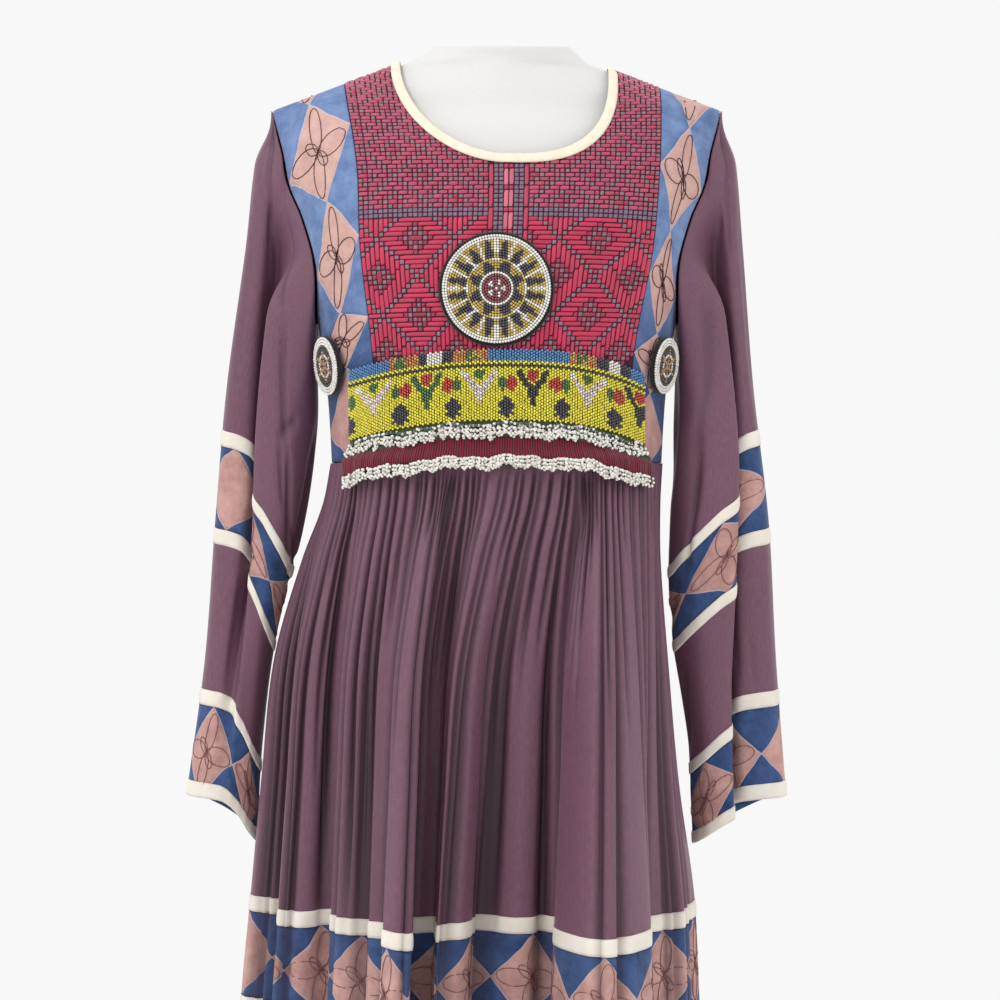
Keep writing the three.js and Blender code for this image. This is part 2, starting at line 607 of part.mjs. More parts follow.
// A ring of the sleeve at t, 0 at the armhole and 1 at the cuff.
function sleeveRing(t, side) {
  const hang = SLEEVE_HANG[side < 0 ? "left" : "right"];
  const at = (column) => read(hang, "t", t, column);
  const [outer, crease, inner] = [at("outer"), at("crease"), at("inner")];
  const reach = { outer: [outer, crease], inner: [crease, inner], both: [outer, inner] };
  const zOuter = SHOULDER_TIP.z - SLEEVE.length * t;
  const zInner = ARMPIT_Z - SLEEVE.underarm * t;
  const groove = THREE.MathUtils.clamp(at("groove"), 0, 1);
  const corners = SLEEVE_SECTION.map((row) => {
    const radians = THREE.MathUtils.degToRad(row.turn);
    const fromArmhole = armholePoint(radians, side);
    fromArmhole.z -= t * mix(SLEEVE.length, SLEEVE.underarm, (1 - Math.cos(radians)) / 2);
    const x = mix(mix(outer, inner, row.whole), mix(...reach[row.lobe], row.across), groove);
    const y = at("centre") - at("depth") * mix(row.plain, row.depth, groove);
    const drop = mix(row.level, row.drop, groove);
    const hanging = new THREE.Vector3(side * x, y, mix(zOuter, zInner, drop));
    // The cloth rounds out over the shoulder at once, and lower down it leaves the armhole slowly.
    const blend = ARMHOLE_BLEND * mix(SHOULDER_BLEND, 1, (1 - Math.cos(radians)) / 2);
    return fromArmhole.lerp(hanging, THREE.MathUtils.smoothstep(t, 0, blend));
  });
  const curve = new THREE.CatmullRomCurve3(corners, true, "centripetal");
  const count = corners.length * SECTION_STEPS;
  return Array.from({ length: count }, (_, i) => curve.getPoint(i / count));
}

function addSleeve(label, side) {
  const [tape1, tape2, tape3, tape4] = SLEEVE_TAPES;
  const below = (top) => top + TAPE_HEIGHT + SEAM_GAP;
  const distances = [
    0,
    40,
    100,
    185,
    tape1,
    tape1 + TAPE_HEIGHT,
    below(tape1),
    tape2 - SEAM_GAP,
    tape2,
    tape2 + TAPE_HEIGHT,
    tape3,
    tape3 + TAPE_HEIGHT,
    below(tape3),
    tape4,
    tape4 + TAPE_HEIGHT,
  ];
  const rows = distances.map((distance) => sleeveRing(distance / SLEEVE.length, side));
  const inner = movedOut(rows, true, -SLEEVE.cloth);
  const under = movedOut(rows, true, SEAM_GAP + 0.1);
  const over = movedOut(rows, true, SEAM_GAP + 0.1 + TAPE);
  const piece = (name, outside, inside, first, last, colour) => {
    const [from, to] = [distances.indexOf(first), distances.indexOf(last) + 1];
    const geometry = wallGeometry(outside.slice(from, to), inside.slice(from, to), true);
    addPiece(`sleeve_${label}_${name}`, geometry, colour);
  };
  piece("upper", rows, inner, 0, tape1 + TAPE_HEIGHT, COLOURS.plumCloth);
  piece("patchwork", rows, inner, below(tape1), tape2 - SEAM_GAP, COLOURS.patchwork);
  piece("lower", rows, inner, tape2, tape3 + TAPE_HEIGHT, COLOURS.plumCloth);
  piece("cuff_patchwork", rows, inner, below(tape3), tape4 + TAPE_HEIGHT, COLOURS.patchwork);
  SLEEVE_TAPES.forEach((top, i) => {
    piece(`tape_${i + 1}`, over, under, top, top + TAPE_HEIGHT, COLOURS.tape);
  });
}

// A point in front of the waist, lifted off the bodice above the seam and off the gathers below it.
function frontPoint(x, z, lift) {
  const depth = bodiceDepth(x, Math.max(z, 1032), "front");
  const slopeAcross = bodiceDepth(x + 1, Math.max(z, 1032), "front") - depth;
  const outward = new THREE.Vector3(-slopeAcross, -1, 0).normalize();
  const overGathers = THREE.MathUtils.smoothstep(WAIST_Z + 14 - z, 0, 14) * 8;
  return new THREE.Vector3(x, -depth, z).addScaledVector(outward, lift + overGathers);
}

function addBelt() {
  const colours = [
    COLOURS.blueBeads,
    COLOURS.yellowBeads,
    COLOURS.whiteBeads,
    COLOURS.redTape,
    COLOURS.whiteBeads,
  ];
  let top = BELT.top;
  BELT_LAYERS.forEach(({ name, height, thickness, wave }, layer) => {
    const columns = wave ? 2 * FRINGE_WAVES : BELT_COLUMNS;
    const grid = (lift) =>
      [0, 1].map((down) =>
        Array.from({ length: columns + 1 }, (_, i) => {
          const x = mix(BELT.left, BELT.right, i / columns);
          const sagLeft = BELT.sagLeft * (x / BELT.left) ** BELT_SAG_POWER.left;
          const sagRight = BELT.sagRight * (x / BELT.right) ** BELT_SAG_POWER.right;
          const sag = x < 0 ? sagLeft : sagRight;
          const ripple = down ? wave * Math.cos(Math.PI * i) : 0;
          return frontPoint(x, top - sag - down * (height - SEAM_GAP) + ripple * down, lift);
        }),
      );
    const geometry = wallGeometry(grid(BELT.lift + thickness), grid(BELT.lift), false);
    addPiece(name, geometry, colours[layer], 0.5);
    top -= height + (wave ? wave : 0);
  });
}

// A disc with rounded edges, standing on its back face.
function discGeometry(radius, thickness, edge) {
  const profile = [
    [0, 0],
    [radius - edge, 0],
    [radius, edge],
    [radius, thickness - edge],
    [radius - edge, thickness],
    [0, thickness],
  ].map(([r, h]) => new THREE.Vector2(r, h));
  const corners = profile.filter((p, i) => i === 0 || p.distanceTo(profile[i - 1]) > 0.01);
  return new THREE.LatheGeometry(corners, MEDALLION.sides);
}

// Medallions are laid on the bodice's front; the soft one follows the body's curve from side to side.
function addMedallions() {
  for (const { name, x, z, radius, isStiff } of MEDALLIONS) {
    const middle = new THREE.Vector3(x, -bodiceDepth(x, z, "front"), z);
    const outward = isStiff ? bodiceNormal(middle) : new THREE.Vector3(0, -1, 0);
    const across = new THREE.Vector3(-outward.y, outward.x, 0).normalize();
    const up = new THREE.Vector3().crossVectors(outward, across).negate();
    const place = (geometry, base) => {
      const points = geometry.getAttribute("position");
      for (let i = 0; i < points.count; i++) {
        const [u, h, v] = [points.getX(i), points.getY(i), points.getZ(i)];
        const p = middle.clone().addScaledVector(across, u).addScaledVector(up, v);
        if (!isStiff) p.y = -bodiceDepth(p.x, p.z, "front");
        p.addScaledVector(outward, base + h);
        points.setXYZ(i, p.x, p.y, p.z);
      }
      geometry.computeVertexNormals();
      return geometry;
    };
    const { felt, feltMargin, beads, lift } = MEDALLION;
    const backing = discGeometry(radius + feltMargin, felt, 0);
    addPiece(`${name}_felt`, place(backing, lift), COLOURS.felt);
    const beadwork = discGeometry(radius, beads, 1.2);
    addPiece(`${name}_beads`, place(beadwork, lift + felt + SEAM_GAP), COLOURS.whiteBeads, 0.4);
  }
}

// The dress form: a smooth body with rounded shoulders, a short neck cut off aslant and no arms.
function addDressForm() {
  const rows = FORM.map(({ z, side, front, back, squareness }) =>
    Array.from({ length: FORM_COLUMNS }, (_, i) => {
      const turn = (2 * Math.PI * i) / FORM_COLUMNS;
      const power = 2 / squareness;
      const y = (Math.sin(turn) < 0 ? front : back) * signedPower(Math.sin(turn), power);
      const neck = THREE.MathUtils.smoothstep(z, 1396, 1421);
      const x = side * signedPower(Math.cos(turn), power) + 4 * neck;
      return new THREE.Vector3(x, y, z + NECK_CUT_SLOPE * neck * y);
    }),
  );
  const positions = rows.flat().flatMap((p) => [p.x, p.y, p.z]);
  const triangles = [];
  rows.slice(1).forEach((_, r) => {
    for (let i = 0; i < FORM_COLUMNS; i++) {
      const j = (i + 1) % FORM_COLUMNS;
      const [a, b] = [r * FORM_COLUMNS + i, r * FORM_COLUMNS + j];
      triangles.push(a, b, b + FORM_COLUMNS, a, b + FORM_COLUMNS, a + FORM_COLUMNS);
    }
  });
  const topStart = (rows.length - 1) * FORM_COLUMNS;
  for (let i = 1; i < FORM_COLUMNS - 1; i++) {
    triangles.push(0, i + 1, i);
    triangles.push(topStart, topStart + i, topStart + i + 1);
  }
  addPiece("dress_form_body", facingOut(positions, triangles), COLOURS.formJersey, 0.85);
}

function addStand() {
  const poleBottom = BASE.bossHeight + SEAM_GAP;
  const poleTop = FORM[0].z - SEAM_GAP;
  const pole = new THREE.CylinderGeometry(POLE_RADIUS, POLE_RADIUS, poleTop - poleBottom, 12);
  const poleMesh = addPiece("stand_pole", pole, COLOURS.steel, 0.35, 0.9);
  poleMesh.rotation.x = Math.PI / 2;
  poleMesh.position.z = (poleTop + poleBottom) / 2;
  const profile = [
    [0, 0],
    [BASE.radius, 0],
    [BASE.radius, BASE.edge],
    [BASE.radius * 0.6, BASE.crown * 0.8],
    [BASE.bossRadius, BASE.crown],
    [BASE.bossRadius * 0.8, BASE.bossHeight],
    [0, BASE.bossHeight],
  ].map(([r, h]) => new THREE.Vector2(r, h));
  const base = addPiece("stand_base", new THREE.LatheGeometry(profile, 24), COLOURS.steel, 0.4, 0.8);
  base.rotation.x = Math.PI / 2;
}

addBodice();
addNeckBinding();
addSkirt();
addSleeve("left", -1);
addSleeve("right", 1);
addBelt();
addMedallions();
addDressForm();
addStand();

export default dress;
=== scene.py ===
"""The finish of a kuchi dress on its dress form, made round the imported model.

Lengths are in millimetres, and MM makes them metres. +Z is up, the front of the dress faces -Y
and +X is to the right as seen from the front.
"""
import math

import bpy
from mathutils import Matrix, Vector
import numpy as np

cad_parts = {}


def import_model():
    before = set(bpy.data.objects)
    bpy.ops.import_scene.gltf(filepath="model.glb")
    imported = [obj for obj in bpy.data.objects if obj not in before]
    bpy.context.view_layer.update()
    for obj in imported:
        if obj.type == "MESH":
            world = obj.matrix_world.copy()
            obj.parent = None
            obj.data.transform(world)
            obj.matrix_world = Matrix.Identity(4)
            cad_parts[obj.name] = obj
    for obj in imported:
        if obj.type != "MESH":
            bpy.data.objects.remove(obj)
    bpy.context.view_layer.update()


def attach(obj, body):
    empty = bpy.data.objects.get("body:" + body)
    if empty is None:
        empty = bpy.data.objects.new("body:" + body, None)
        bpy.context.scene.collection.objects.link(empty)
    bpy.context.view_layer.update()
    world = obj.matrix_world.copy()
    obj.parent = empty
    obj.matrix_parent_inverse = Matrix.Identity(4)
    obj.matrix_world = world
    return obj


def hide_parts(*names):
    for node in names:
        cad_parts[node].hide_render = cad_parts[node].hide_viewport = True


MM = 0.001

# The picture: 0.9 mm a pixel at the dress form's axis, seen level from two metres
CAMERA = (3, -2000, 1013)
LENS = 80

# Seams and tapes
TAPE_HEIGHT = 14
SEAM_GAP = 0.3
TAPE_LIFT = 0.5
WAIST_Z = 1046
ARMPIT_Z = 1170
SHOULDER_TIP = (200, 1362)
NECK_POINT = (99, 1401)
BODY_SQUARENESS = 2.3

# Skirt
SKIRT_TAPE_Z = 659
SKIRT_BAND = 76
HEM_Z = 200
GATHERS = 124
SHORT_GATHERS, LONG_GATHERS = (60, 330), (450, 1200)  # how far down they reach
DEEP_FOLD = 6  # crease depth at which the painted shade in the folds is darkest
PATCH_WIDTH = 78
PATCH_START = 50  # whole steps that keep the places of the patchwork above 0
MEETING_X = -3  # where two diamonds of the skirt's band meet in front
BAND_MIDDLE_X = -18  # the band spreads from here

# Neckline and its binding
NECK_CENTRE_X = 6.5
NECK_HALF_WIDTH = 100.5
NECK_DEPTH = {"front": 99, "back": 22}
NECK_ROUNDNESS = {"left": 1.9, "right": 2.8, "back": 2.4}
CUT_INSET = 6.5


def table(columns, *rows):
    """Rows of numbers under named columns."""
    return dict(zip(columns.split(), np.array(rows, float).T))


BODICE = table(
    "z side front back",
    (1030, 147, 111, 104),
    (1100, 151, 116, 104),
    (1140, 156, 121, 106),
    (1170, 160, 124, 108),
    (1215, 169, 124, 110),
    (1260, 180, 116, 108),
    (1290, 189, 106, 104),
    (1320, 196, 94, 98),
    (1345, 201, 76, 86),
    (1362, 200, 62, 74),
    (1380, 153, 47, 61),
    (1406, 86, 25, 42),
)
ARMHOLE = table(
    "z x",
    (1170, 160),
    (1215, 158),
    (1260, 170),
    (1290, 183),
    (1320, 189),
    (1345, 196),
    (1362, 200),
)
YOKE_EDGE = table(
    "z left right",
    (1046, -100, 112),
    (1143, -107, 119),
    (1228, -117, 135),
    (1304, -121, 142),
    (1390, -137, 146),
)
FORM = table(
    "z side front back squareness",
    (846, 100, 74, 76, 2.3),
    (862, 115, 86, 90, 2.3),
    (940, 121, 91, 97, 2.3),
    (1046, 118, 84, 84, 2.3),
    (1120, 132, 98, 90, 2.3),
    (1190, 148, 112, 96, 2.3),
    (1250, 162, 106, 98, 2.3),
    (1300, 174, 92, 92, 2.2),
    (1335, 181, 76, 80, 2),
    (1356, 174, 60, 64, 1.7),
    (1376, 158.8, 52, 56, 1.5),
    (1397, 104.4, 44, 44, 1.4),
    (1406, 80.9, 42, 42, 1.8),
    (1421, 61, 42, 42, 2),
)
NECK_CUT_SLOPE, NECK_SHIFT = 0.2, 4

# How far the skirt has spread from the waist to the band's folds
SKIRT = table(
    "z spread right",
    (1046, 0, 0),
    (1010, 0.1, -0.1),
    (960, 0.36, -0.12),
    (870, 0.71, 0.14),
    (760, 0.87, 0.5),
    (659, 1, 1),
    (563, 1.12, 1.16),
    (200, 1.36, 1.6),
)
WAIST = {"side": 149, "front": 113, "back": 106, "squareness": 2.2}
WAIST_STRAIGHTNESS = 0.6  # 1 lets every fold fall straight out from the waist
BAND_LINE = table(
    "x y steps",
    (-222, 4, 2),
    (-212, -20, 2),
    (-191, -36, 2),
    (-187, -84, 3),
    (-165, -88, 2),
    (-143, -76, 2),
    (-140, -108, 3),
    (-112, -130, 3),
    (-99, -136, 1),
    (-93, -168, 2),
    (-71, -190, 2),
    (-70, -118, 3),
    (-53, -110, 2),
    (-49, -152, 3),
    (-28, -138, 2),
    (-8, -108, 3),
    (18, -116, 2),
    (47, -112, 2),
    (50, -166, 3),
    (86, -212, 4),
    (126, -168, 4),
    (132, -108, 3),
    (158, -92, 2),
    (170, -50, 3),
    (178, -8, 3),
    (160, 40, 3),
    (166, 84, 3),
    (128, 88, 3),
    (112, 136, 3),
    (74, 118, 3),
    (44, 162, 3),
    (8, 132, 4),
    (-30, 166, 3),
    (-64, 130, 3),
    (-106, 148, 3),
    (-136, 104, 3),
    (-176, 106, 3),
    (-188, 62, 3),
    (-214, 40, 3),
)

# Sleeves
SLEEVE_LENGTH = 617
SLEEVE_UNDERARM = 468
SLEEVE_ROUND = 300  # the round that the creases' shares count against
SLEEVE_TAPES = (286, 374, 520, 603)
ARMHOLE_GAP = 2.1
ARMHOLE_BLEND = 0.26
SHOULDER_BLEND = 0.3
SLEEVE_HANG = {
    "left": table(
        "t outer crease inner centre depth groove",
        (0.0, 203, 196, 160, 0, 42, 0),
        (0.06, 215.5, 198.5, 160, 1, 42, 0.45),
        (0.2, 226, 204, 161, 4, 42, 0.8),
        (0.4, 244, 211, 175, 10, 40, 1),
        (0.6, 256, 219, 200, 20, 36, 0.8),
        (0.8, 266, 230, 213, 27, 32, 0.35),
        (1.0, 283, 244, 219, 30, 29, 0),
    ),
    "right": table(
        "t outer crease inner centre depth groove",
        (0.0, 203, 194, 160, 0, 42, 0),
        (0.06, 213.5, 197, 159, 0, 42, 0.45),
        (0.2, 221, 203, 157, 0, 42, 0.8),
        (0.4, 230, 207, 153, -2, 44, 1),
        (0.6, 245, 206, 158, 2, 42, 1),
        (0.8, 253, 206, 172, 12, 36, 0.9),
        (1.0, 263, 210, 178, 18, 32, 0.8),
    ),
}
OUTER, INNER, BOTH = 0, 1, 2
SLEEVE_SECTION = table(
    "turn lobe across depth whole plain drop level",
    (0, OUTER, 0, -0.15, 0, 0, 0, 0),
    (28, OUTER, 0.15, 0.4, 0.06, 0.47, 0.01, 0),
    (52, OUTER, 0.5, 0.5, 0.19, 0.79, 0.04, 0.01),
    (68, OUTER, 0.8, 0.42, 0.31, 0.93, 0.09, 0.02),
    (80, OUTER, 0.96, 0, 0.41, 0.98, 0.19, 0.04),
    (90, INNER, 0.08, -0.3, 0.5, 1, 0.28, 0.06),
    (98, INNER, 0.2, 0.05, 0.57, 0.99, 0.38, 0.1),
    (108, INNER, -0.14, 0.76, 0.65, 0.95, 0.48, 0.18),
    (124, INNER, 0.2, 0.95, 0.78, 0.83, 0.6, 0.4),
    (146, INNER, 0.66, 0.84, 0.91, 0.56, 0.8, 0.75),
    (180, INNER, 1, 0.05, 1, 0, 1, 1),
    (222, BOTH, 0.8, -0.55, 0.87, -0.67, 0.75, 0.75),
    (266, BOTH, 0.48, -0.68, 0.53, -0.9, 0.4, 0.4),
    (316, BOTH, 0.17, -0.55, 0.14, -0.69, 0.1, 0.1),
)

# Creases of a sleeve, from one end to the other: the share of the way round from the outer edge by the
# front, the distance down the sleeve, then how wide and deep the trough is
SLEEVE_CREASES = {
    "left": (
        (0.037, -8, 0.108, 66, 3, 3.4),
        (0.10, 45, 0.138, 140, 3, 2.4),
        (0.06, 60, 0.06, 270, 5, 1.8),
        (0.165, 30, 0.34, 105, 3.5, 3.2),
        (0.33, 90, 0.456, 205, 4, 3.2),
        (0.45, 185, 0.54, 300, 4, 3.4),
        (0.47, 148, 0.415, 200, 3.5, 3.2),
        (0.415, 188, 0.48, 260, 3.5, 2.6),
        (0.24, 120, 0.26, 300, 4, 2.0),
        (0.55, 90, 0.57, 330, 5, 3.2),
        (0.62, 150, 0.60, 400, 4, 3.4),
        (0.67, 210, 0.66, 380, 4, 2.6),
        (0.50, 250, 0.66, 300, 4, 2.2),
        (0.53, 292, 0.69, 336, 4, 2.4),
        (0.56, 330, 0.70, 362, 4, 2.0),
        (0.16, 380, 0.18, 520, 6, 1.4),
        (0.24, 384, 0.26, 514, 4, 1.2),
        (0.10, 540, 0.16, 575, 4, 1.1),
        (0.20, 560, 0.30, 596, 4, 1.3),
        (0.80, 60, 0.78, 480, 9, 4.0),
        (0.86, 130, 0.90, 420, 8, 3.4),
        (0.93, 220, 0.92, 600, 7, 3.0),
        (0.74, 300, 0.88, 380, 6, 2.4),
    ),
    "right": (
        (0.035, -8, 0.082, 70, 3, 3.4),
        (0.078, 45, 0.09, 130, 3, 2.4),
        (0.05, 60, 0.05, 280, 4, 1.8),
        (0.30, 70, 0.43, 180, 8, 3.0),
        (0.43, 150, 0.50, 280, 8, 3.0),
        (0.44, 190, 0.53, 330, 3.5, 3.8),
        (0.52, 60, 0.66, 330, 9, 2.6),
        (0.50, 20, 0.60, 220, 8, 2.2),
        (0.60, 120, 0.70, 400, 8, 2.4),
        (0.52, 300, 0.66, 372, 5, 1.8),
        (0.55, 330, 0.63, 350, 4, 1.4),
        (0.16, 384, 0.17, 518, 4, 1.6),
        (0.21, 430, 0.21, 519, 2.4, 1.4),
        (0.25, 440, 0.25, 519, 2.4, 1.3),
        (0.12, 460, 0.12, 519, 2.4, 1.1),
        (0.56, 400, 0.58, 520, 5, 2.4),
        (0.63, 380, 0.61, 560, 5, 2.2),
        (0.82, 60, 0.80, 470, 9, 4.0),
        (0.88, 150, 0.91, 430, 8, 3.2),
        (0.94, 240, 0.93, 600, 7, 2.8),
        (0.76, 290, 0.87, 390, 6, 2.2),
    ),
}

# Where the diamonds of a body panel meet, from the shoulder down, and their slant
PANEL_PATCHES = {
    "left": {"meets": (1454, 1361, 1271, 1175, 1128, 1047), "slant": 0.75},
    "right": {"meets": (1436, 1340, 1246, 1158, 1106, 1040), "slant": -0.45},
}

# Belt
BELT = {"left": -126, "right": 127, "top": 1141, "lift": 1.2}
BELT_SAG = {"left": (16, 2), "right": (20, 3)}  # at the ends, and the power that it grows by
GATHER_RISE, SEAM_SLOPE = 8, 14  # the belt's step over the gathers below the waist, and its height
SEED = 2.25  # pitch of the seed beads
LOOPS, LOOP_BEADS = 84, 7

# Medallions: middle, beaded radius, and whether it stays flat where the body curves
MEDALLIONS = {
    "front": {"x": 0, "z": 1191, "radius": 46, "stiff": False},
    "left": {"x": -144, "z": 1131, "radius": 25, "stiff": True},
    "right": {"x": 143, "z": 1131, "radius": 24, "stiff": True},
}


def smooth(x, low, high):
    """0 below low, 1 above high, and an even rise between them."""
    t = np.clip((x - low) / (high - low), 0, 1)
    return t * t * (3 - 2 * t)


def mix(a, b, share):
    return a + (b - a) * share


def read(rows, key, at, column):
    """A column of a table at the given key, along a smooth curve through its rows."""
    keys, values = rows[key], rows[column]
    if keys[0] > keys[-1]:
        keys, values = keys[::-1], values[::-1]
    at = np.clip(at, keys[0], keys[-1])
    i = np.clip(np.searchsorted(keys, at, side="right") - 1, 0, len(keys) - 2)
    slopes = np.gradient(values)
    slopes[1:-1] = (values[2:] - values[:-2]) / (keys[2:] - keys[:-2])
    slopes[0] = (values[1] - values[0]) / (keys[1] - keys[0])
    slopes[-1] = (values[-1] - values[-2]) / (keys[-1] - keys[-2])
    span = keys[i + 1] - keys[i]
    s = (at - keys[i]) / span
    return (
        (2 * s**3 - 3 * s**2 + 1) * values[i]
        + (s**3 - 2 * s**2 + s) * span * slopes[i]
        + (3 * s**2 - 2 * s**3) * values[i + 1]
        + (s**3 - s**2) * span * slopes[i + 1]
    )


def closed_curve(points, at):
    """Points of the smooth closed curve through the given ones, at steps and parts of steps."""
    count = len(points)
    start = np.floor(at).astype(int)
    part = (at - start)[:, None]
    p0, p1, p2, p3 = (points[(start + k) % count] for k in (-1, 0, 1, 2))

    def gap(a, b):
        return np.maximum(np.linalg.norm(b - a, axis=1)[:, None], 1e-4) ** 0.5

    d0, d1, d2 = gap(p0, p1), gap(p1, p2), gap(p2, p3)
    t1 = ((p1 - p0) / d0 - (p2 - p0) / (d0 + d1) + (p2 - p1) / d1) * d1
    t2 = ((p2 - p1) / d1 - (p3 - p1) / (d1 + d2) + (p3 - p2) / d2) * d1
    c2 = -3 * p1 + 3 * p2 - 2 * t1 - t2
    c3 = 2 * p1 - 2 * p2 + t1 + t2
    return p1 + t1 * part + c2 * part**2 + c3 * part**3


def unit(vectors):
    return vectors / np.maximum(np.linalg.norm(vectors, axis=-1, keepdims=True), 1e-9)


def points_of(x, y, z):
    return np.stack(np.broadcast_arrays(x, y, z), -1).astype(float)


def grid_normals(grid, closed, outward):
    """Normals of rows of points; outward is 1 or -1."""
    if closed:
        across = np.roll(grid, -1, 1) - np.roll(grid, 1, 1)
    else:
        across = np.gradient(grid, axis=1)
    down = np.gradient(grid, axis=0)
    return unit(np.cross(down, across)) * outward


def crease_depth(around, down, creases):
    """Depth of the creases at points given by their places in millimetres on the cloth."""
    depth = np.zeros(around.shape)
    for a0, b0, a1, b1, width, deep in creases:
        run = (a1 - a0) ** 2 + (b1 - b0) ** 2
        along = np.clip(((around - a0) * (a1 - a0) + (down - b0) * (b1 - b0)) / run, 0, 1)
        off = np.hypot(around - mix(a0, a1, along), down - mix(b0, b1, along))
        taper = smooth(along, 0, 0.3) * smooth(1 - along, 0, 0.3)
        depth += deep * taper * np.exp(-((off / width) ** 2))
    return depth


# Meshes


def select_only(piece):
    bpy.ops.object.select_all(action="DESELECT")
    piece.select_set(True)
    bpy.context.view_layer.objects.active = piece


def apply_modifier(piece, kind, **settings):
    """Adds a modifier and applies it."""
    modifier = piece.modifiers.new(kind.title(), kind)
    for name, value in settings.items():
        setattr(modifier, name, value)
    select_only(piece)
    bpy.ops.object.modifier_apply(modifier=modifier.name)


def add_mesh(name, points, faces, finish, is_smooth=True):
    """An object at the origin from points in millimetres."""
    mesh = bpy.data.meshes.new(name)
    mesh.from_pydata((np.asarray(points) * MM).tolist(), [], faces)
    mesh.polygons.foreach_set("use_smooth", [is_smooth] * len(mesh.polygons))
    mesh.materials.append(finish)
    piece = bpy.data.objects.new(name, mesh)
    bpy.context.scene.collection.objects.link(piece)
    return piece


def add_uv(piece, name, corners):
    layer = piece.data.uv_layers.new(name=name)
    layer.data.foreach_set("uv", np.asarray(corners, np.float32).ravel())


def add_cloth(name, grid, closed, finish, weave, wall=1.0, patch=None, flip=False, fold=None):
    """A thin wall of cloth on rows of points. weave and patch hold the places of the points on the flat
    cloth, with one more column than a closed grid has."""
    rows, columns = grid.shape[:2]
    r = np.arange(rows - 1)[:, None]
    c = np.arange(columns if closed else columns - 1)[None, :]

    def quads(width, wraps):
        n = (c + 1) % columns if wraps else c + 1
        ring = [(row * width + column).ravel() for row, column in ((r, c), (r + 1, c), (r + 1, n), (r, n))]
        return np.stack(ring[::-1] if flip else ring, -1)

    piece = add_mesh(name, grid.reshape(-1, 3), quads(columns, closed).tolist(), finish)
    on_cloth = quads(weave.shape[1], False)
    add_uv(piece, "Weave", weave.reshape(-1, 2)[on_cloth])
    if patch is not None:
        add_uv(piece, "Patch", patch.reshape(-1, 2)[on_cloth])
    # painted shade, 0 to 1, for the bottom of the folds: the materials darken the cloth by it
    shade = piece.data.attributes.new("fold", "FLOAT", "POINT")
    values = np.zeros(rows * columns) if fold is None else fold.ravel()
    shade.data.foreach_set("value", values.astype(np.float32))
    if wall:
        apply_modifier(piece, "SOLIDIFY", thickness=wall * MM, offset=-1, use_even_offset=False)
    return piece


def flat_places(grid, closed):
    """The places of a grid's points on the flat cloth, in millimetres: round and down."""
    ring = np.concatenate([grid, grid[:, :1]], 1) if closed else grid
    steps = np.linalg.norm(np.diff(ring, axis=1), axis=-1).mean(0)
    round_mm = np.concatenate([[0], np.cumsum(steps)])
    drops = np.linalg.norm(np.diff(grid, axis=0), axis=-1).mean(1)
    down_mm = np.concatenate([[0], np.cumsum(drops)])
    return np.stack(np.meshgrid(round_mm, down_mm), -1)


def carry(piece, slot, *nodes):
    """The piece rides on the one body and stands for its nodes."""
    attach(piece, "root")
    if nodes:
        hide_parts(*nodes)
    return piece


# Materials


def linear(colour):
    """Linear red, green, blue and alpha of an sRGB hex colour."""
    parts = [int(colour[i : i + 2], 16) / 255 for i in (1, 3, 5)]
    return [p / 12.92 if p <= 0.04045 else ((p + 0.055) / 1.055) ** 2.4 for p in parts] + [1]


def add(tree, kind, inputs=None, output=0, **settings):
    """Adds a node with its settings, and its inputs as values or links; gives one of its outputs."""
    node = tree.nodes.new("ShaderNode" + kind)
    for name, value in settings.items():
        setattr(node, name, value)
    for socket, value in (inputs or {}).items():
        if isinstance(value, bpy.types.NodeSocket):
            tree.links.new(value, node.inputs[socket])
        else:
            node.inputs[socket].default_value = value
    return node.outputs[output]


def new_finish(name, **shader):
    """A material with its node tree and shader; what is even all over is set on the shader's sockets."""
    material = bpy.data.materials.new(name)
    material.use_nodes = True
    tree = material.node_tree
    principled = tree.nodes["Principled BSDF"]
    for socket, value in shader.items():
        principled.inputs[socket.replace("_", " ")].default_value = value
    return material, tree, principled


def dress_with(tree, principled, colour, height, depth_mm):
    """Links a colour and a bump of the given depth to the shader."""
    bump = add(tree, "Bump", {"Strength": 0.8, "Distance": depth_mm * MM, "Height": height})
    tree.links.new(bump, principled.inputs["Normal"])
    tree.links.new(colour, principled.inputs["Base Color"])


WAVE_LENGTH = 0.314  # of a wave at scale 1


def woven(tree, thread_mm):
    """Height of a plain weave: crossing threads that take turns on top."""
    on_cloth = add(tree, "UVMap", uv_map="Weave")
    threads = {"Vector": on_cloth, "Scale": WAVE_LENGTH / (2 * thread_mm)}
    warp = add(tree, "TexWave", threads, bands_direction="X")
    weft = add(tree, "TexWave", threads, bands_direction="Y")
    return add(tree, "Math", {0: warp, 1: weft}, operation="MULTIPLY")


def shaded_folds(tree, colour, shadow):
    """Painted shade: the colour deepens to the given shadow colour in the bottom of the folds, by the shade
    amount that each point of the cloth carries.
    """
    fold = add(tree, "Attribute", output="Fac", attribute_name="fold")
    return add(tree, "Mix", {0: fold, 6: colour, 7: linear(shadow)}, 2, data_type="RGBA")


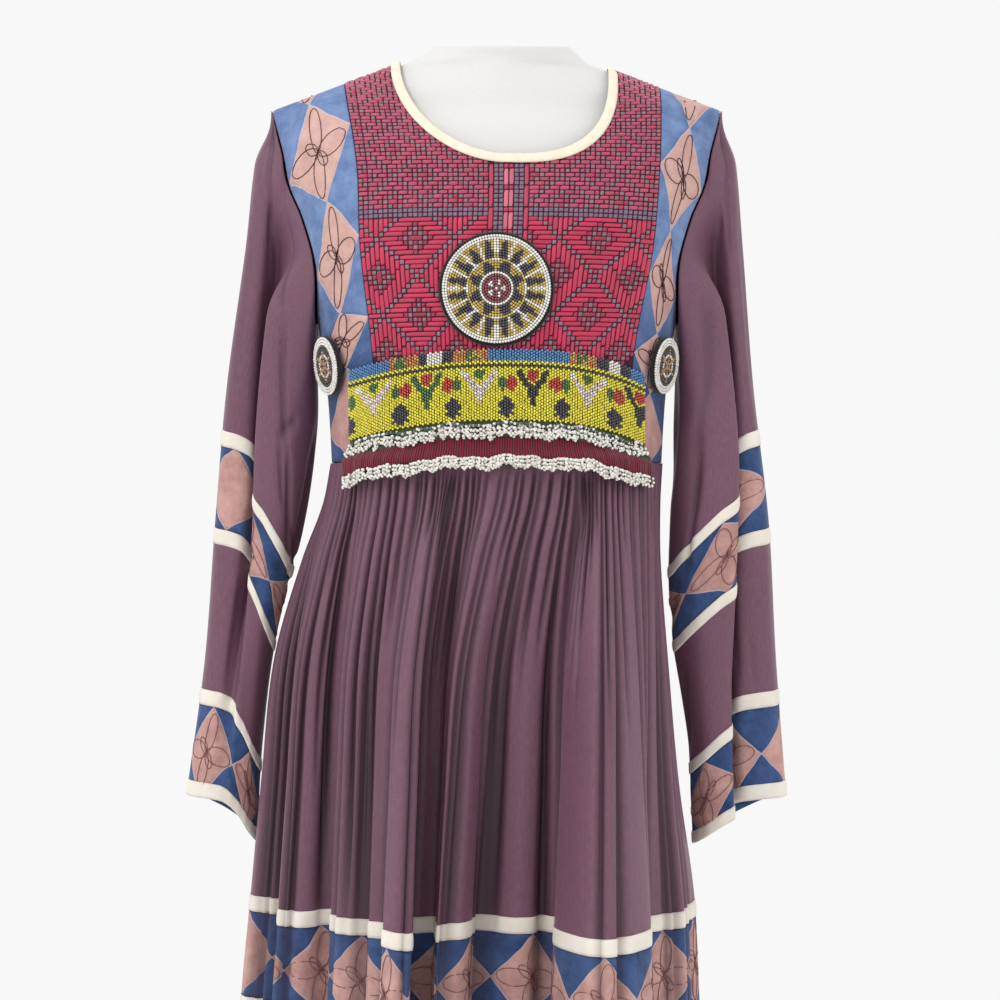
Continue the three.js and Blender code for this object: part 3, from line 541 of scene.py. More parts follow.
def plum_viscose():
    """Satin-faced viscose, woven fine: a soft sheen along the folds and a slight mottle from washing."""
    material, tree, principled = new_finish(
        "plum_viscose_satin", Roughness=0.5, Sheen_Weight=0.3, Sheen_Roughness=0.4, Specular_IOR_Level=0.4
    )
    principled.inputs["Sheen Tint"].default_value = linear("#C9A6B6")
    places = add(tree, "TexCoord", output="Object")
    wash = add(tree, "TexNoise", {"Vector": places, "Scale": 1 / (60 * MM), "Detail": 4})
    washed = add(tree, "Mix", {0: wash, 6: linear("#5F3B4C"), 7: linear("#724A5C")}, 2, data_type="RGBA")
    on_cloth = add(tree, "UVMap", uv_map="Weave")
    along_warp = add(tree, "Mapping", {"Vector": on_cloth, "Scale": (1, 0.25, 1)})
    slubs = add(tree, "TexNoise", {"Vector": along_warp, "Scale": 1 / 2.2, "Detail": 3, "Roughness": 0.7})
    uneven = add(tree, "Mix", {0: slubs, 6: linear("#44263A"), 7: linear("#936A7F")}, 2, data_type="RGBA")
    spun = add(tree, "Mix", {0: 0.5, 6: washed, 7: uneven}, 2, data_type="RGBA")
    threads = woven(tree, 0.8)  # the real threads are 0.3 mm and wouldn't show
    height = add(tree, "Math", {0: threads, 1: slubs}, operation="ADD")
    # painted shade: the cloth darkens to #2B1622 in the bottom of the folds
    dress_with(tree, principled, shaded_folds(tree, spun, "#2B1622"), height, 0.12)
    return material


def pieced_cotton():
    """Plain-weave cotton, dyed blue and dusty pink and pieced in diamonds: matt, mottled from washing,
    with light seam lines, and crinkled where the seams draw it in. A diamond fills each whole step of the
    "Patch" map."""
    material, tree, principled = new_finish(
        "pieced_cotton", Roughness=0.85, Sheen_Weight=0.12, Specular_IOR_Level=0.2
    )
    places = add(tree, "TexCoord", output="Object")
    on_patches = add(tree, "UVMap", uv_map="Patch")
    hand = add(tree, "TexNoise", {"Vector": places, "Scale": 1 / (28 * MM), "Detail": 2}, "Color")
    wander = {0: hand, 1: (0.07, 0.07, 0.07), 2: on_patches}
    shaky = add(tree, "VectorMath", wander, operation="MULTIPLY_ADD")
    sewn = add(tree, "VectorMath", {0: shaky, 1: (0.035, 0.035, 0)}, operation="SUBTRACT")
    in_patch = add(tree, "VectorMath", {0: sewn}, operation="FRACTION")
    centred = add(tree, "VectorMath", {0: in_patch, 1: (0.5, 0.5, 0)}, operation="SUBTRACT")
    corner = add(tree, "VectorMath", {0: centred}, operation="ABSOLUTE")
    away = add(tree, "VectorMath", {0: corner, 1: (1, 1, 0)}, "Value", operation="DOT_PRODUCT")
    is_blue = add(tree, "Math", {0: away, 1: 0.5}, operation="GREATER_THAN")
    patch = add(tree, "VectorMath", {0: sewn}, operation="FLOOR")
    dye = add(tree, "TexWhiteNoise", {"Vector": patch}, noise_dimensions="2D")
    clouds = {"Vector": places, "Scale": 1 / (17 * MM), "Detail": 6, "Roughness": 0.65}
    mottle = add(tree, "TexNoise", clouds)
    marked = add(tree, "Math", {0: mottle, 1: 1.6, 2: -0.35}, operation="MULTIPLY_ADD")
    wear = add(tree, "Math", {0: dye, 1: 0.25, 2: marked}, operation="MULTIPLY_ADD", use_clamp=True)
    pink = add(tree, "Mix", {0: wear, 6: linear("#9A6C6A"), 7: linear("#CFA79D")}, 2, data_type="RGBA")
    blue = add(tree, "Mix", {0: wear, 6: linear("#1D2F57"), 7: linear("#46608F")}, 2, data_type="RGBA")
    pale_pink = add(tree, "Mix", {0: wear, 6: linear("#B08680"), 7: linear("#D8B3A8")}, 2, data_type="RGBA")
    pale_blue = add(tree, "Mix", {0: wear, 6: linear("#42598A"), 7: linear("#7F98C2")}, 2, data_type="RGBA")
    pale = add(tree, "Attribute", output="Fac", attribute_name="pale")
    deep_pair = add(tree, "Mix", {0: is_blue, 6: pink, 7: blue}, 2, data_type="RGBA")
    pale_pair = add(tree, "Mix", {0: is_blue, 6: pale_pink, 7: pale_blue}, 2, data_type="RGBA")
    pieces = add(tree, "Mix", {0: pale, 6: deep_pair, 7: pale_pair}, 2, data_type="RGBA")
    seam = add(tree, "Math", {0: away, 1: 0.5, 2: 0.008}, operation="COMPARE")
    faint = add(tree, "Math", {0: seam, 1: 0.45}, operation="MULTIPLY")
    seamed = add(tree, "Mix", {0: faint, 6: pieces, 7: linear("#D6C6D2")}, 2, data_type="RGBA")
    dip = add(tree, "Math", {0: away, 1: 0.5}, operation="SUBTRACT")
    rise = add(tree, "Math", {0: dip}, operation="ABSOLUTE")
    plump = add(tree, "Math", {0: rise, 1: 14.0, 2: 1.0}, operation="MULTIPLY_ADD", use_clamp=False)
    eased = add(tree, "Math", {0: plump, 1: 1.7}, operation="MINIMUM")
    crinkle = add(tree, "TexNoise", {"Vector": places, "Scale": 1 / (9 * MM), "Detail": 4})
    height = add(tree, "Math", {0: crinkle, 1: 2.2, 2: eased}, operation="MULTIPLY_ADD")
    # painted shade: the patchwork darkens to #2E2028 in the bottom of the folds
    dress_with(tree, principled, shaded_folds(tree, seamed, "#2E2028"), height, 1.2)
    return material


def cream_cotton():
    """Cream cotton tape in a close weave: matt, slightly soiled, and puckered along its stitching."""
    material, tree, principled = new_finish(
        "cream_cotton_tape", Roughness=0.85, Sheen_Weight=0.15, Specular_IOR_Level=0.2
    )
    places = add(tree, "TexCoord", output="Object")
    soil = add(tree, "TexNoise", {"Vector": places, "Scale": 1 / (26 * MM), "Detail": 4})
    cloth = add(tree, "Mix", {0: soil, 6: linear("#D9CFC0"), 7: linear("#F6F1E9")}, 2, data_type="RGBA")
    pucker = add(tree, "TexNoise", {"Vector": places, "Scale": 1 / (10 * MM), "Detail": 3})
    height = add(tree, "Math", {0: woven(tree, 0.9), 1: 0.15, 2: pucker}, operation="MULTIPLY_ADD")
    # painted shade: the tape darkens to #80746E where it lies over the bottom of the folds
    dress_with(tree, principled, shaded_folds(tree, cloth, "#80746E"), height, 0.7)
    return material


def dyed(name, dark, light, grain_mm, depth_mm, **shader):
    """One dye on fibres: felt, jersey, sewing thread or the ground cloth of the embroidery."""
    material, tree, principled = new_finish(name, Specular_IOR_Level=0.2, **shader)
    places = add(tree, "TexCoord", output="Object")
    fibres = add(tree, "TexNoise", {"Vector": places, "Scale": 1 / (grain_mm * MM), "Detail": 4})
    colour = add(tree, "Mix", {0: fibres, 6: linear(dark), 7: linear(light)}, 2, data_type="RGBA")
    dress_with(tree, principled, colour, fibres, depth_mm)
    return material


def silk_floss():
    """Untwisted silk floss laid in satin stitch: a gloss along its strands, drawn 1.1 mm wide to show, with
    a painted highlight of light pink on the top of each strand.
    """
    material, tree, principled = new_finish(
        "silk_satin_stitch", Roughness=0.48, Sheen_Weight=0.2, Specular_IOR_Level=0.45
    )
    places = add(tree, "TexCoord", output="Object")
    along_stitch = add(tree, "UVMap", uv_map="Weave")
    laid = {"Vector": along_stitch, "Scale": WAVE_LENGTH / 1.1}
    strands = add(tree, "TexWave", laid, bands_direction="Y")
    fray = add(tree, "TexNoise", {"Vector": places, "Scale": 1 / (2.4 * MM), "Detail": 3})
    dye = add(tree, "Attribute", output="Color", attribute_name="dye")
    lit = add(tree, "Math", {0: strands, 1: fray}, operation="MULTIPLY")
    # painted highlight: up to 0.3 of the way to light pink #E07E98 along the tops of the strands
    strand_highlight = add(tree, "Math", {0: lit, 1: 0.3}, operation="MULTIPLY")
    colour = add(tree, "Mix", {0: strand_highlight, 6: dye, 7: linear("#E07E98")}, 2, data_type="RGBA")
    height = add(tree, "Math", {0: strands, 1: fray}, operation="ADD")
    dress_with(tree, principled, colour, height, 0.2)
    return material


def seed_bead_glass():
    """Opaque glass seed beads, tumbled smooth: small bright highlights, and dust that dulls the dye."""
    material, tree, principled = new_finish(
        "opaque_seed_bead_glass", Roughness=0.18, IOR=1.52, Coat_Weight=0.25
    )
    places = add(tree, "TexCoord", output="Object")
    dust = add(tree, "TexNoise", {"Vector": places, "Scale": 1 / (4 * MM), "Detail": 3})
    thin_dust = add(tree, "Math", {0: dust, 1: 0.2}, operation="MULTIPLY")
    dye = add(tree, "Attribute", output="Color", attribute_name="dye")
    colour = add(tree, "Mix", {0: thin_dust, 6: dye, 7: linear("#B9B2A8")}, 2, data_type="RGBA")
    tree.links.new(colour, principled.inputs["Base Color"])
    return material


def ribbed_tape():
    """Maroon tape woven with upright ribs, a rib every 2.2 mm, with painted shade in the grooves between
    the ribs and painted light on their tops.
    """
    material, tree, principled = new_finish(
        "ribbed_woven_tape", Roughness=0.8, Sheen_Weight=0.2, Specular_IOR_Level=0.25
    )
    on_cloth = add(tree, "UVMap", uv_map="Weave")
    upright = {"Vector": on_cloth, "Scale": WAVE_LENGTH / 2.2, "Distortion": 1.5, "Detail Scale": 0.3}
    ribs = add(tree, "TexWave", upright, bands_direction="X")
    # painted shade and light: the maroon runs from #360C18 in the grooves to #842038 on the rib tops, by
    # the ribs' height
    colour = add(tree, "Mix", {0: ribs, 6: linear("#360C18"), 7: linear("#842038")}, 2, data_type="RGBA")
    dress_with(tree, principled, colour, ribs, 0.5)
    return material


def brushed_steel():
    """Steel brushed along its length: fine lines that draw its highlights out."""
    material, tree, principled = new_finish("brushed_steel", Roughness=0.34, Metallic=1.0)
    places = add(tree, "TexCoord", output="Object")
    drawn_out = add(tree, "Mapping", {"Vector": places, "Scale": (1, 1, 0.03)})
    lines = add(tree, "TexNoise", {"Vector": drawn_out, "Scale": 1 / (0.6 * MM), "Detail": 2})
    colour = add(tree, "Mix", {0: lines, 6: linear("#8C8E91"), 7: linear("#B4B6B8")}, 2, data_type="RGBA")
    dress_with(tree, principled, colour, lines, 0.02)
    return material


# Surfaces of the dress


SHOULDER_SLOPE = (NECK_POINT[0] - SHOULDER_TIP[0]) / (NECK_POINT[1] - SHOULDER_TIP[1])


def shoulder_x(z):
    """Half width of the shoulder line at a height."""
    return SHOULDER_TIP[0] + (z - SHOULDER_TIP[1]) * SHOULDER_SLOPE


def shoulder_z(x):
    """Height of the shoulder line at a distance from the middle."""
    return SHOULDER_TIP[1] + (np.abs(x) - SHOULDER_TIP[0]) / SHOULDER_SLOPE


def bodice_side(z):
    return np.where(z > SHOULDER_TIP[1], shoulder_x(z), read(BODICE, "z", z, "side"))


def armhole_x(z):
    return np.where(z < ARMPIT_Z, bodice_side(z), read(ARMHOLE, "z", z, "x"))


def bodice_depth(x, z, face):
    """Distance from the axis to the front or the back of the bodice."""
    share = np.minimum(1, np.abs(x) / bodice_side(z))
    return read(BODICE, "z", z, face) * (1 - share**BODY_SQUARENESS) ** (1 / BODY_SQUARENESS)


def bodice_point(x, z, face, lift=0.0):
    """Points of the bodice, lifted off it, and never across the shoulder seam."""
    sign = -1 if face == "front" else 1
    depth = bodice_depth(x, z, face)
    side, middle = bodice_side(z), read(BODICE, "z", z, face)
    side_slope = (bodice_side(z + 1) - bodice_side(z - 1)) / 2
    middle_slope = (read(BODICE, "z", z + 1, face) - read(BODICE, "z", z - 1, face)) / 2
    across, along = np.minimum(1, np.abs(x) / side), depth / middle
    p = BODY_SQUARENESS
    upward = -(across**p) * side_slope / side - along**p * middle_slope / middle
    sideways, forward = np.sign(x) * across ** (p - 1) / side, sign * along ** (p - 1) / middle
    normal = unit(points_of(sideways, forward, upward))
    points = points_of(x, sign * depth, z) + normal * np.asarray(lift)[..., None]
    points[..., 1] = sign * np.maximum(sign * points[..., 1], SEAM_GAP / 2)
    return points


def neckline_z(x, face, inset):
    """Height of the neckline over x, that far inside the cut edge."""
    half = NECK_HALF_WIDTH - inset
    across = np.minimum(1, np.abs(x - NECK_CENTRE_X) / half)
    if face == "back":
        power = NECK_ROUNDNESS["back"]
    else:
        power = np.where(x < NECK_CENTRE_X, NECK_ROUNDNESS["left"], NECK_ROUNDNESS["right"])
    ends = shoulder_z(NECK_CENTRE_X - half), shoulder_z(NECK_CENTRE_X + half)
    shoulder = mix(*ends, (x - NECK_CENTRE_X + half) / (2 * half))
    rise = shoulder_z(half) - shoulder_z(NECK_HALF_WIDTH)
    return shoulder - (NECK_DEPTH[face] + rise - inset) * (1 - across**power) ** (1 / power)


def yoke_left(z):
    return read(YOKE_EDGE, "z", z, "left") + SEAM_GAP / 2


def yoke_right(z):
    return read(YOKE_EDGE, "z", z, "right") - SEAM_GAP / 2


def panel_top(left, right, shares, face):
    """Height at which each column of a panel meets the shoulder line or the neckline."""
    low, high = np.full(shares.shape, 1280.0), np.full(shares.shape, NECK_POINT[1] + 12.0)
    for _ in range(40):
        z = (low + high) / 2
        x = mix(left(z), right(z), shares)
        in_neck = np.abs(x - NECK_CENTRE_X) < NECK_HALF_WIDTH - CUT_INSET
        inside = (np.abs(x) <= bodice_side(z)) & ~(in_neck & (z > neckline_z(x, face, CUT_INSET)))
        low, high = np.where(inside, z, low), np.where(inside, high, z)
    return low


def panel_grid(left, right, columns, rows, face):
    """Rows of points of a bodice panel from the waist up, closer towards the shoulder."""
    shares = np.linspace(0, 1, columns)
    up = 1 - (1 - np.linspace(0, 1, rows)[:, None]) ** 1.6
    z = mix(WAIST_Z + SEAM_GAP, panel_top(left, right, shares, face)[None, :], up)
    return bodice_point(mix(left(z), right(z), shares), z, face)


def signed_power(value, power):
    return np.sign(value) * np.abs(value) ** power


BAND_STEPS = int(BAND_LINE["steps"].sum())
FINE_STEPS = np.linspace(0, BAND_STEPS, 20 * BAND_STEPS + 1)


def band_at(steps):
    """Points of the band's line at steps along it, and how far round they are at the waist, 0 to 1."""
    ends = np.concatenate([[0], np.cumsum(BAND_LINE["steps"])])
    corners = np.stack([BAND_LINE["x"], BAND_LINE["y"]], -1)
    line = closed_curve(corners, np.interp(FINE_STEPS, ends, np.arange(len(ends))) % len(corners))
    walked = np.concatenate([[0], np.cumsum(np.linalg.norm(np.diff(line, axis=0), axis=1))])
    share = (walked / walked[-1] + FINE_STEPS / BAND_STEPS) / 2
    return [np.interp(steps, FINE_STEPS, column) for column in (line[:, 0], line[:, 1], share)]


def waist_at(share):
    """Points of the waist's line at shares of its round, from the left by the front."""
    turn = math.pi * (1 + 2 * share)
    power = 2 / WAIST["squareness"]
    depth = np.where(np.sin(turn) < 0, WAIST["front"], WAIST["back"])
    return WAIST["side"] * signed_power(np.cos(turn), power), depth * signed_power(np.sin(turn), power)


def waist_share(share):
    """Where cloth at a share of the band's round is sewn to the waist: mostly straight above it."""
    even = np.linspace(0, 1, 2001)[:-1]
    eased_over = 90  # places on either side
    band_x, band_y, _ = band_at(np.interp(even, band_at(FINE_STEPS)[2], FINE_STEPS))
    waist_x, waist_y = waist_at(even)
    band_turn = np.unwrap(np.arctan2(band_y, band_x - BAND_MIDDLE_X))
    waist_turn = np.unwrap(np.arctan2(waist_y, waist_x))
    band_turn += 2 * math.pi * round((waist_turn[0] - band_turn[0]) / (2 * math.pi))
    turns = np.concatenate([waist_turn - 2 * math.pi, waist_turn, waist_turn + 2 * math.pi])
    shares = np.concatenate([even - 1, even, even + 1])
    shift = np.interp(band_turn, turns, shares) - even
    window = np.hanning(2 * eased_over + 1)
    wide = np.concatenate([shift[-eased_over:], shift, shift[:eased_over]])
    eased = np.convolve(wide, window / window.sum(), "valid")
    return share + WAIST_STRAIGHTNESS * np.interp(share, even, eased, period=1)


def skirt_grid(share, heights):
    """Rings of the skirt, smooth but for the large folds, at the given shares of the waist."""
    band_x, band_y, _ = band_at(np.interp(share, band_at(FINE_STEPS)[2], FINE_STEPS))
    waist_x, waist_y = waist_at(waist_share(share))
    z = np.asarray(heights, float)[:, None]
    spread = read(SKIRT, "z", z, "spread")
    sideways = mix(spread, read(SKIRT, "z", z, "right"), smooth(waist_x, 60, 145)[None, :])
    return points_of(mix(waist_x, band_x, sideways), mix(waist_y, band_y, spread), z)


def sleeve_grid(side, distances, columns):
    """Rings of a sleeve at distances down it, from its outer edge round by the front: they leave the
    armhole's line and come to hang in two halves with a groove between."""
    hang = SLEEVE_HANG["left" if side < 0 else "right"]
    t = np.asarray(distances, float)[:, None] / SLEEVE_LENGTH
    turns = np.append(SLEEVE_SECTION["turn"], 360)
    dense = np.arange(24 * (len(turns) - 1)) / 24
    degrees = np.interp(dense, np.arange(len(turns)), turns)
    turn = np.radians(degrees)[None, :]
    round_share = (1 - np.cos(turn)) / 2
    z = mix(SHOULDER_TIP[1], ARMPIT_Z, round_share)
    x = armhole_x(z)
    y = np.where(np.sin(turn) > 0, -bodice_depth(x, z, "front"), bodice_depth(x, z, "back"))
    fall = t * mix(SLEEVE_LENGTH, SLEEVE_UNDERARM, round_share)
    at_armhole = points_of(side * (x + ARMHOLE_GAP), y, z - fall)
    outer, crease, inner, centre, depth, groove = (
        read(hang, "t", t, column) for column in ("outer", "crease", "inner", "centre", "depth", "groove")
    )
    groove = np.clip(groove, 0, 1)
    lobe, across = SLEEVE_SECTION["lobe"], SLEEVE_SECTION["across"]
    start = np.where(lobe == INNER, crease, outer)
    end = np.where(lobe == OUTER, crease, inner)
    hung_x = mix(mix(outer, inner, SLEEVE_SECTION["whole"]), mix(start, end, across), groove)
    hung_y = centre - depth * mix(SLEEVE_SECTION["plain"], SLEEVE_SECTION["depth"], groove)
    drop = mix(SLEEVE_SECTION["level"], SLEEVE_SECTION["drop"], groove)
    hung_z = mix(SHOULDER_TIP[1] - SLEEVE_LENGTH * t, ARMPIT_Z - SLEEVE_UNDERARM * t, drop)
    hanging = points_of(side * hung_x, hung_y, hung_z)
    blend = ARMHOLE_BLEND * mix(SHOULDER_BLEND, 1, round_share)
    leave = smooth(t, 0, blend)[..., None]
    rings = []
    for sewn, corners, share in zip(at_armhole, hanging, leave):
        ring = mix(sewn, closed_curve(corners, dense), share)
        ring = np.concatenate([ring, ring[:1]])
        walked = np.concatenate([[0], np.cumsum(np.linalg.norm(np.diff(ring, axis=0), axis=1))])
        places = np.arange(columns) / columns * walked[-1]
        rings.append(np.stack([np.interp(places, walked, ring[:, k]) for k in range(3)], -1))
    return np.array(rings)


def front_point(x, z, lift):
    """Points in front of the waist, lifted off the bodice above the seam and off the gathers below."""
    level = np.maximum(z, WAIST_Z - SEAM_SLOPE)
    depth = bodice_depth(x, level, "front")
    outward = unit(points_of(depth - bodice_depth(x + 1, level, "front"), -1, 0))
    over_gathers = GATHER_RISE * smooth(WAIST_Z + SEAM_SLOPE - z, 0, SEAM_SLOPE)
    return points_of(x, -depth, z) + outward * (np.asarray(lift + over_gathers))[..., None], outward


def belt_sag(x):
    left = BELT_SAG["left"][0] * np.abs(x / BELT["left"]) ** BELT_SAG["left"][1]
    right = BELT_SAG["right"][0] * np.abs(x / BELT["right"]) ** BELT_SAG["right"][1]
    return np.where(x < 0, left, right)


def on_grid(grid, row, column, lift, outward):
    """Points between a grid's points, lifted off it."""
    raised = grid + grid_normals(grid, False, outward) * lift
    row = np.clip(row, 0, grid.shape[0] - 1.001)
    column = np.clip(column, 0, grid.shape[1] - 1.001)
    r, c = row.astype(int), column.astype(int)
    a, b = (row - r)[..., None], (column - c)[..., None]
    upper = mix(raised[r, c], raised[r, c + 1], b)
    lower = mix(raised[r + 1, c], raised[r + 1, c + 1], b)
    return mix(upper, lower, a)


# Cloth pieces


def add_sheet(name, grid, closed, finish, slot, node, held, rests_on, wall=1.0, flip=False, **maps):
    """A piece of cloth on a grid, which stands for its node."""
    weave = flat_places(grid, closed)
    piece = add_cloth(name, grid, closed, finish, weave, wall=wall, flip=flip, **maps)
    carry(piece, slot, node)
    return piece


def gather_places(counts):
    """Shares of the waist's round at counts of gathers, closer where the large folds hold more cloth."""
    among_folds = 800  # a height where the folds are full
    fine = np.linspace(0, 1, 4001)
    ring = skirt_grid(fine, [among_folds])[0]
    walked = np.concatenate([[0], np.cumsum(np.linalg.norm(np.diff(ring, axis=0), axis=1))])
    taken_up = (fine + 2 * walked / walked[-1]) / 3
    return np.interp(counts / GATHERS, taken_up, fine)


def gathered(grid, share, random):
    """How far the gathers draw the skirt's cloth in at the points of its grid, in millimetres."""
    places = gather_places(np.arange(GATHERS) + 0.5 + random.uniform(-0.28, 0.28, GATHERS))
    lengths = random.uniform(*SHORT_GATHERS, GATHERS)
    is_long = random.random(GATHERS) < 0.56
    lengths[is_long] = random.uniform(*LONG_GATHERS, is_long.sum())
    drift = random.uniform(-7, 7, GATHERS)
    strength = random.uniform(0.65, 1.25, GATHERS)
    drop = WAIST_Z - grid[:, :1, 2]
    ring = np.concatenate([grid, grid[:, :1]], 1)
    walked = np.cumsum(np.linalg.norm(np.diff(ring, axis=1), axis=-1), axis=1)
    total = walked[:, -1:]
    around = np.concatenate([0 * total, walked[:, :-1]], 1)
    depth = np.zeros(around.shape)
    for place, length, lean, force, long_fold in zip(places, lengths, drift, strength, is_long):
        at = np.array([np.interp(place, share, row) for row in around])[:, None]
        off = around - at - lean * np.minimum(drop / 400, 1)
        off = (off + total / 2) % total - total / 2
        widening, deepening = (0.009, 1.6) if long_fold else (0.006, 0.9)
        width = 1.3 + widening * np.minimum(drop, 400)
        deep = mix(0.8, 5.2, smooth(drop, 0, 22)) * mix(1.0, deepening, smooth(drop, 60, 240))
        fade = 1 - smooth(drop, 0.45 * length, length)
        depth += force * deep * fade * np.exp(-((off / width) ** 2))
    return depth


def skirt_columns(per_gather):
    """Shares of the waist's round, closer together beside the gathers."""
    steps = {6: (0, 0.18, 0.36, 0.5, 0.64, 0.82), 3: (0, 0.33, 0.67)}[per_gather]
    return gather_places((np.arange(GATHERS)[:, None] + np.array(steps)[None, :]).ravel())


def skirt_cloth(share, heights):
    """The skirt's surface with its gathers, and the painted shade of each point, more the deeper it lies
    among the folds.
    """
    grid = skirt_grid(share, heights)
    random = np.random.default_rng(7)
    depth = gathered(grid, share, random)
    grid = grid - grid_normals(grid, True, 1) * depth[..., None]
    return grid, np.clip(depth / DEEP_FOLD, 0, 1) * 0.85


def tape_over(grid, closed, lift, outward):
    """Rows of a tape laid over a grid, rounded towards its edges and puckered along its stitching."""
    rows, columns = grid.shape[:2]
    across = np.linspace(-1, 1, rows)[:, None]
    rise = lift + 0.5 * (1 - across**4)
    pucker = 0.25 * np.sin(np.arange(columns) * 2 * math.pi * round(columns / 9) / columns)[None, :]
    return grid + grid_normals(grid, closed, outward) * (rise + pucker * np.abs(across))[..., None]


def tape_rows(top):
    return np.linspace(top, top - TAPE_HEIGHT, 6)


def add_skirt(plum, pieced, cream):
    band_top = SKIRT_TAPE_Z - TAPE_HEIGHT
    band_bottom = band_top - SKIRT_BAND
    lower_top = band_bottom - SEAM_GAP
    form = ["dress_form_body", "back", "front_yoke"]

    fine = skirt_columns(6)
    sewn = WAIST_Z - SEAM_GAP
    high = sewn - (sewn - band_top) * np.linspace(0, 1, 50) ** 1.35
    grid, fold = skirt_cloth(fine, high)
    add_sheet("gathered_skirt", grid, True, plum, "plum_cloth", "skirt_upper", "gathered", form, fold=fold)

    coarse = skirt_columns(3)
    levels = np.linspace(band_top - SEAM_GAP, band_bottom, 16)
    grid, fold = skirt_cloth(coarse, levels)
    round_mm = flat_places(grid, True)[0, :, 0]
    patches = round(round_mm[-1] / PATCH_WIDTH)
    off_meeting = np.where(grid[0, :, 1] < 0, np.abs(grid[0, :, 0] - MEETING_X), np.inf)
    meeting = round_mm[np.argmin(off_meeting)] / round_mm[-1] * patches
    across = round_mm / round_mm[-1] * patches - meeting + PATCH_START
    patch = np.stack(np.meshgrid(across, np.linspace(0, 1, len(levels))), -1)
    add_sheet(
        "skirt_patchwork_band", grid, True, pieced, "patchwork", "skirt_patchwork", "gathered",
        ["gathered_skirt"], fold=fold * 0.7, patch=patch,
    )
    open_grid = np.concatenate([grid, grid[:, :1]], 1)
    flowers = []
    for centre in np.arange(math.ceil(across[0]), math.floor(across[-1])) + 0.5:
        if across[0] < centre - 0.45 and centre + 0.45 < across[-1]:
            flowers.append(petals(open_grid, across, centre, 1))

    grid, fold = skirt_cloth(coarse, np.linspace(lower_top, HEM_Z, 36))
    add_sheet(
        "skirt_lower_tier", grid, True, plum, "plum_cloth", "skirt_lower", "gathered",
        ["skirt_patchwork_band"], fold=fold,
    )
    for name, node, top, under in (
        ("skirt_tape_top", "skirt_tape_upper", SKIRT_TAPE_Z, "gathered_skirt"),
        ("skirt_tape_bottom", "skirt_tape_lower", lower_top, "skirt_lower_tier"),
    ):
        grid, fold = skirt_cloth(fine, tape_rows(top))
        over = tape_over(grid, True, TAPE_LIFT, 1)
        add_sheet(
            name, over, True, cream, "cream_tape", node, "laid", [under], wall=0.5, fold=fold * 0.5
        )
    return flowers


def petals(grid, across, centre, outward, rows=None):
    """Lines of a stitched flower in the middle of a diamond: four petals and two small ones."""
    lines = []
    turns = np.linspace(0, 2 * math.pi, 15)
    for angle, reach, girth in (
        (0, 0.42, 0.1), (90, 0.44, 0.085), (180, 0.42, 0.1), (270, 0.44, 0.085),
        (52, 0.2, 0.05), (218, 0.22, 0.05),
    ):
        along = reach * (1 - np.cos(turns)) / 2
        aside = girth * np.sin(turns)
        lean = math.radians(angle + 6)
        u = centre + along * math.cos(lean) - aside * math.sin(lean)
        v = 0.5 + along * math.sin(lean) + aside * math.cos(lean)
        column = np.interp(u, across, np.arange(len(across)))
        row = v * (grid.shape[0] - 1) if rows is None else rows(u, v)
        lines.append(on_grid(grid, row, column, 0.45, outward))
    return lines


def add_threads(name, flowers, finish, slot, radius):
    """Closed loops of thread, three-sided, as one mesh."""
    points, faces = [], []
    for line in [line for flower in flowers for line in flower]:
        count = len(line) - 1
        centre = line[:count]
        along = unit(np.roll(centre, -1, 0) - np.roll(centre, 1, 0))
        side = unit(np.cross(along, [0.02, -0.05, 1.0]))
        up = np.cross(side, along)
        start = sum(len(p) for p in points)
        ring = [centre + radius * (side * math.cos(a) + up * math.sin(a)) for a in (0.5, 2.6, 4.7)]
        points.append(np.stack(ring, 1).reshape(-1, 3))
        for i in range(count):
            j = (i + 1) % count
            for k in range(3):
                n = (k + 1) % 3
                faces.append((start + 3 * i + k, start + 3 * i + n, start + 3 * j + n, start + 3 * j + k))
    piece = add_mesh(name, np.concatenate(points), faces, finish)
    return carry(piece, slot)


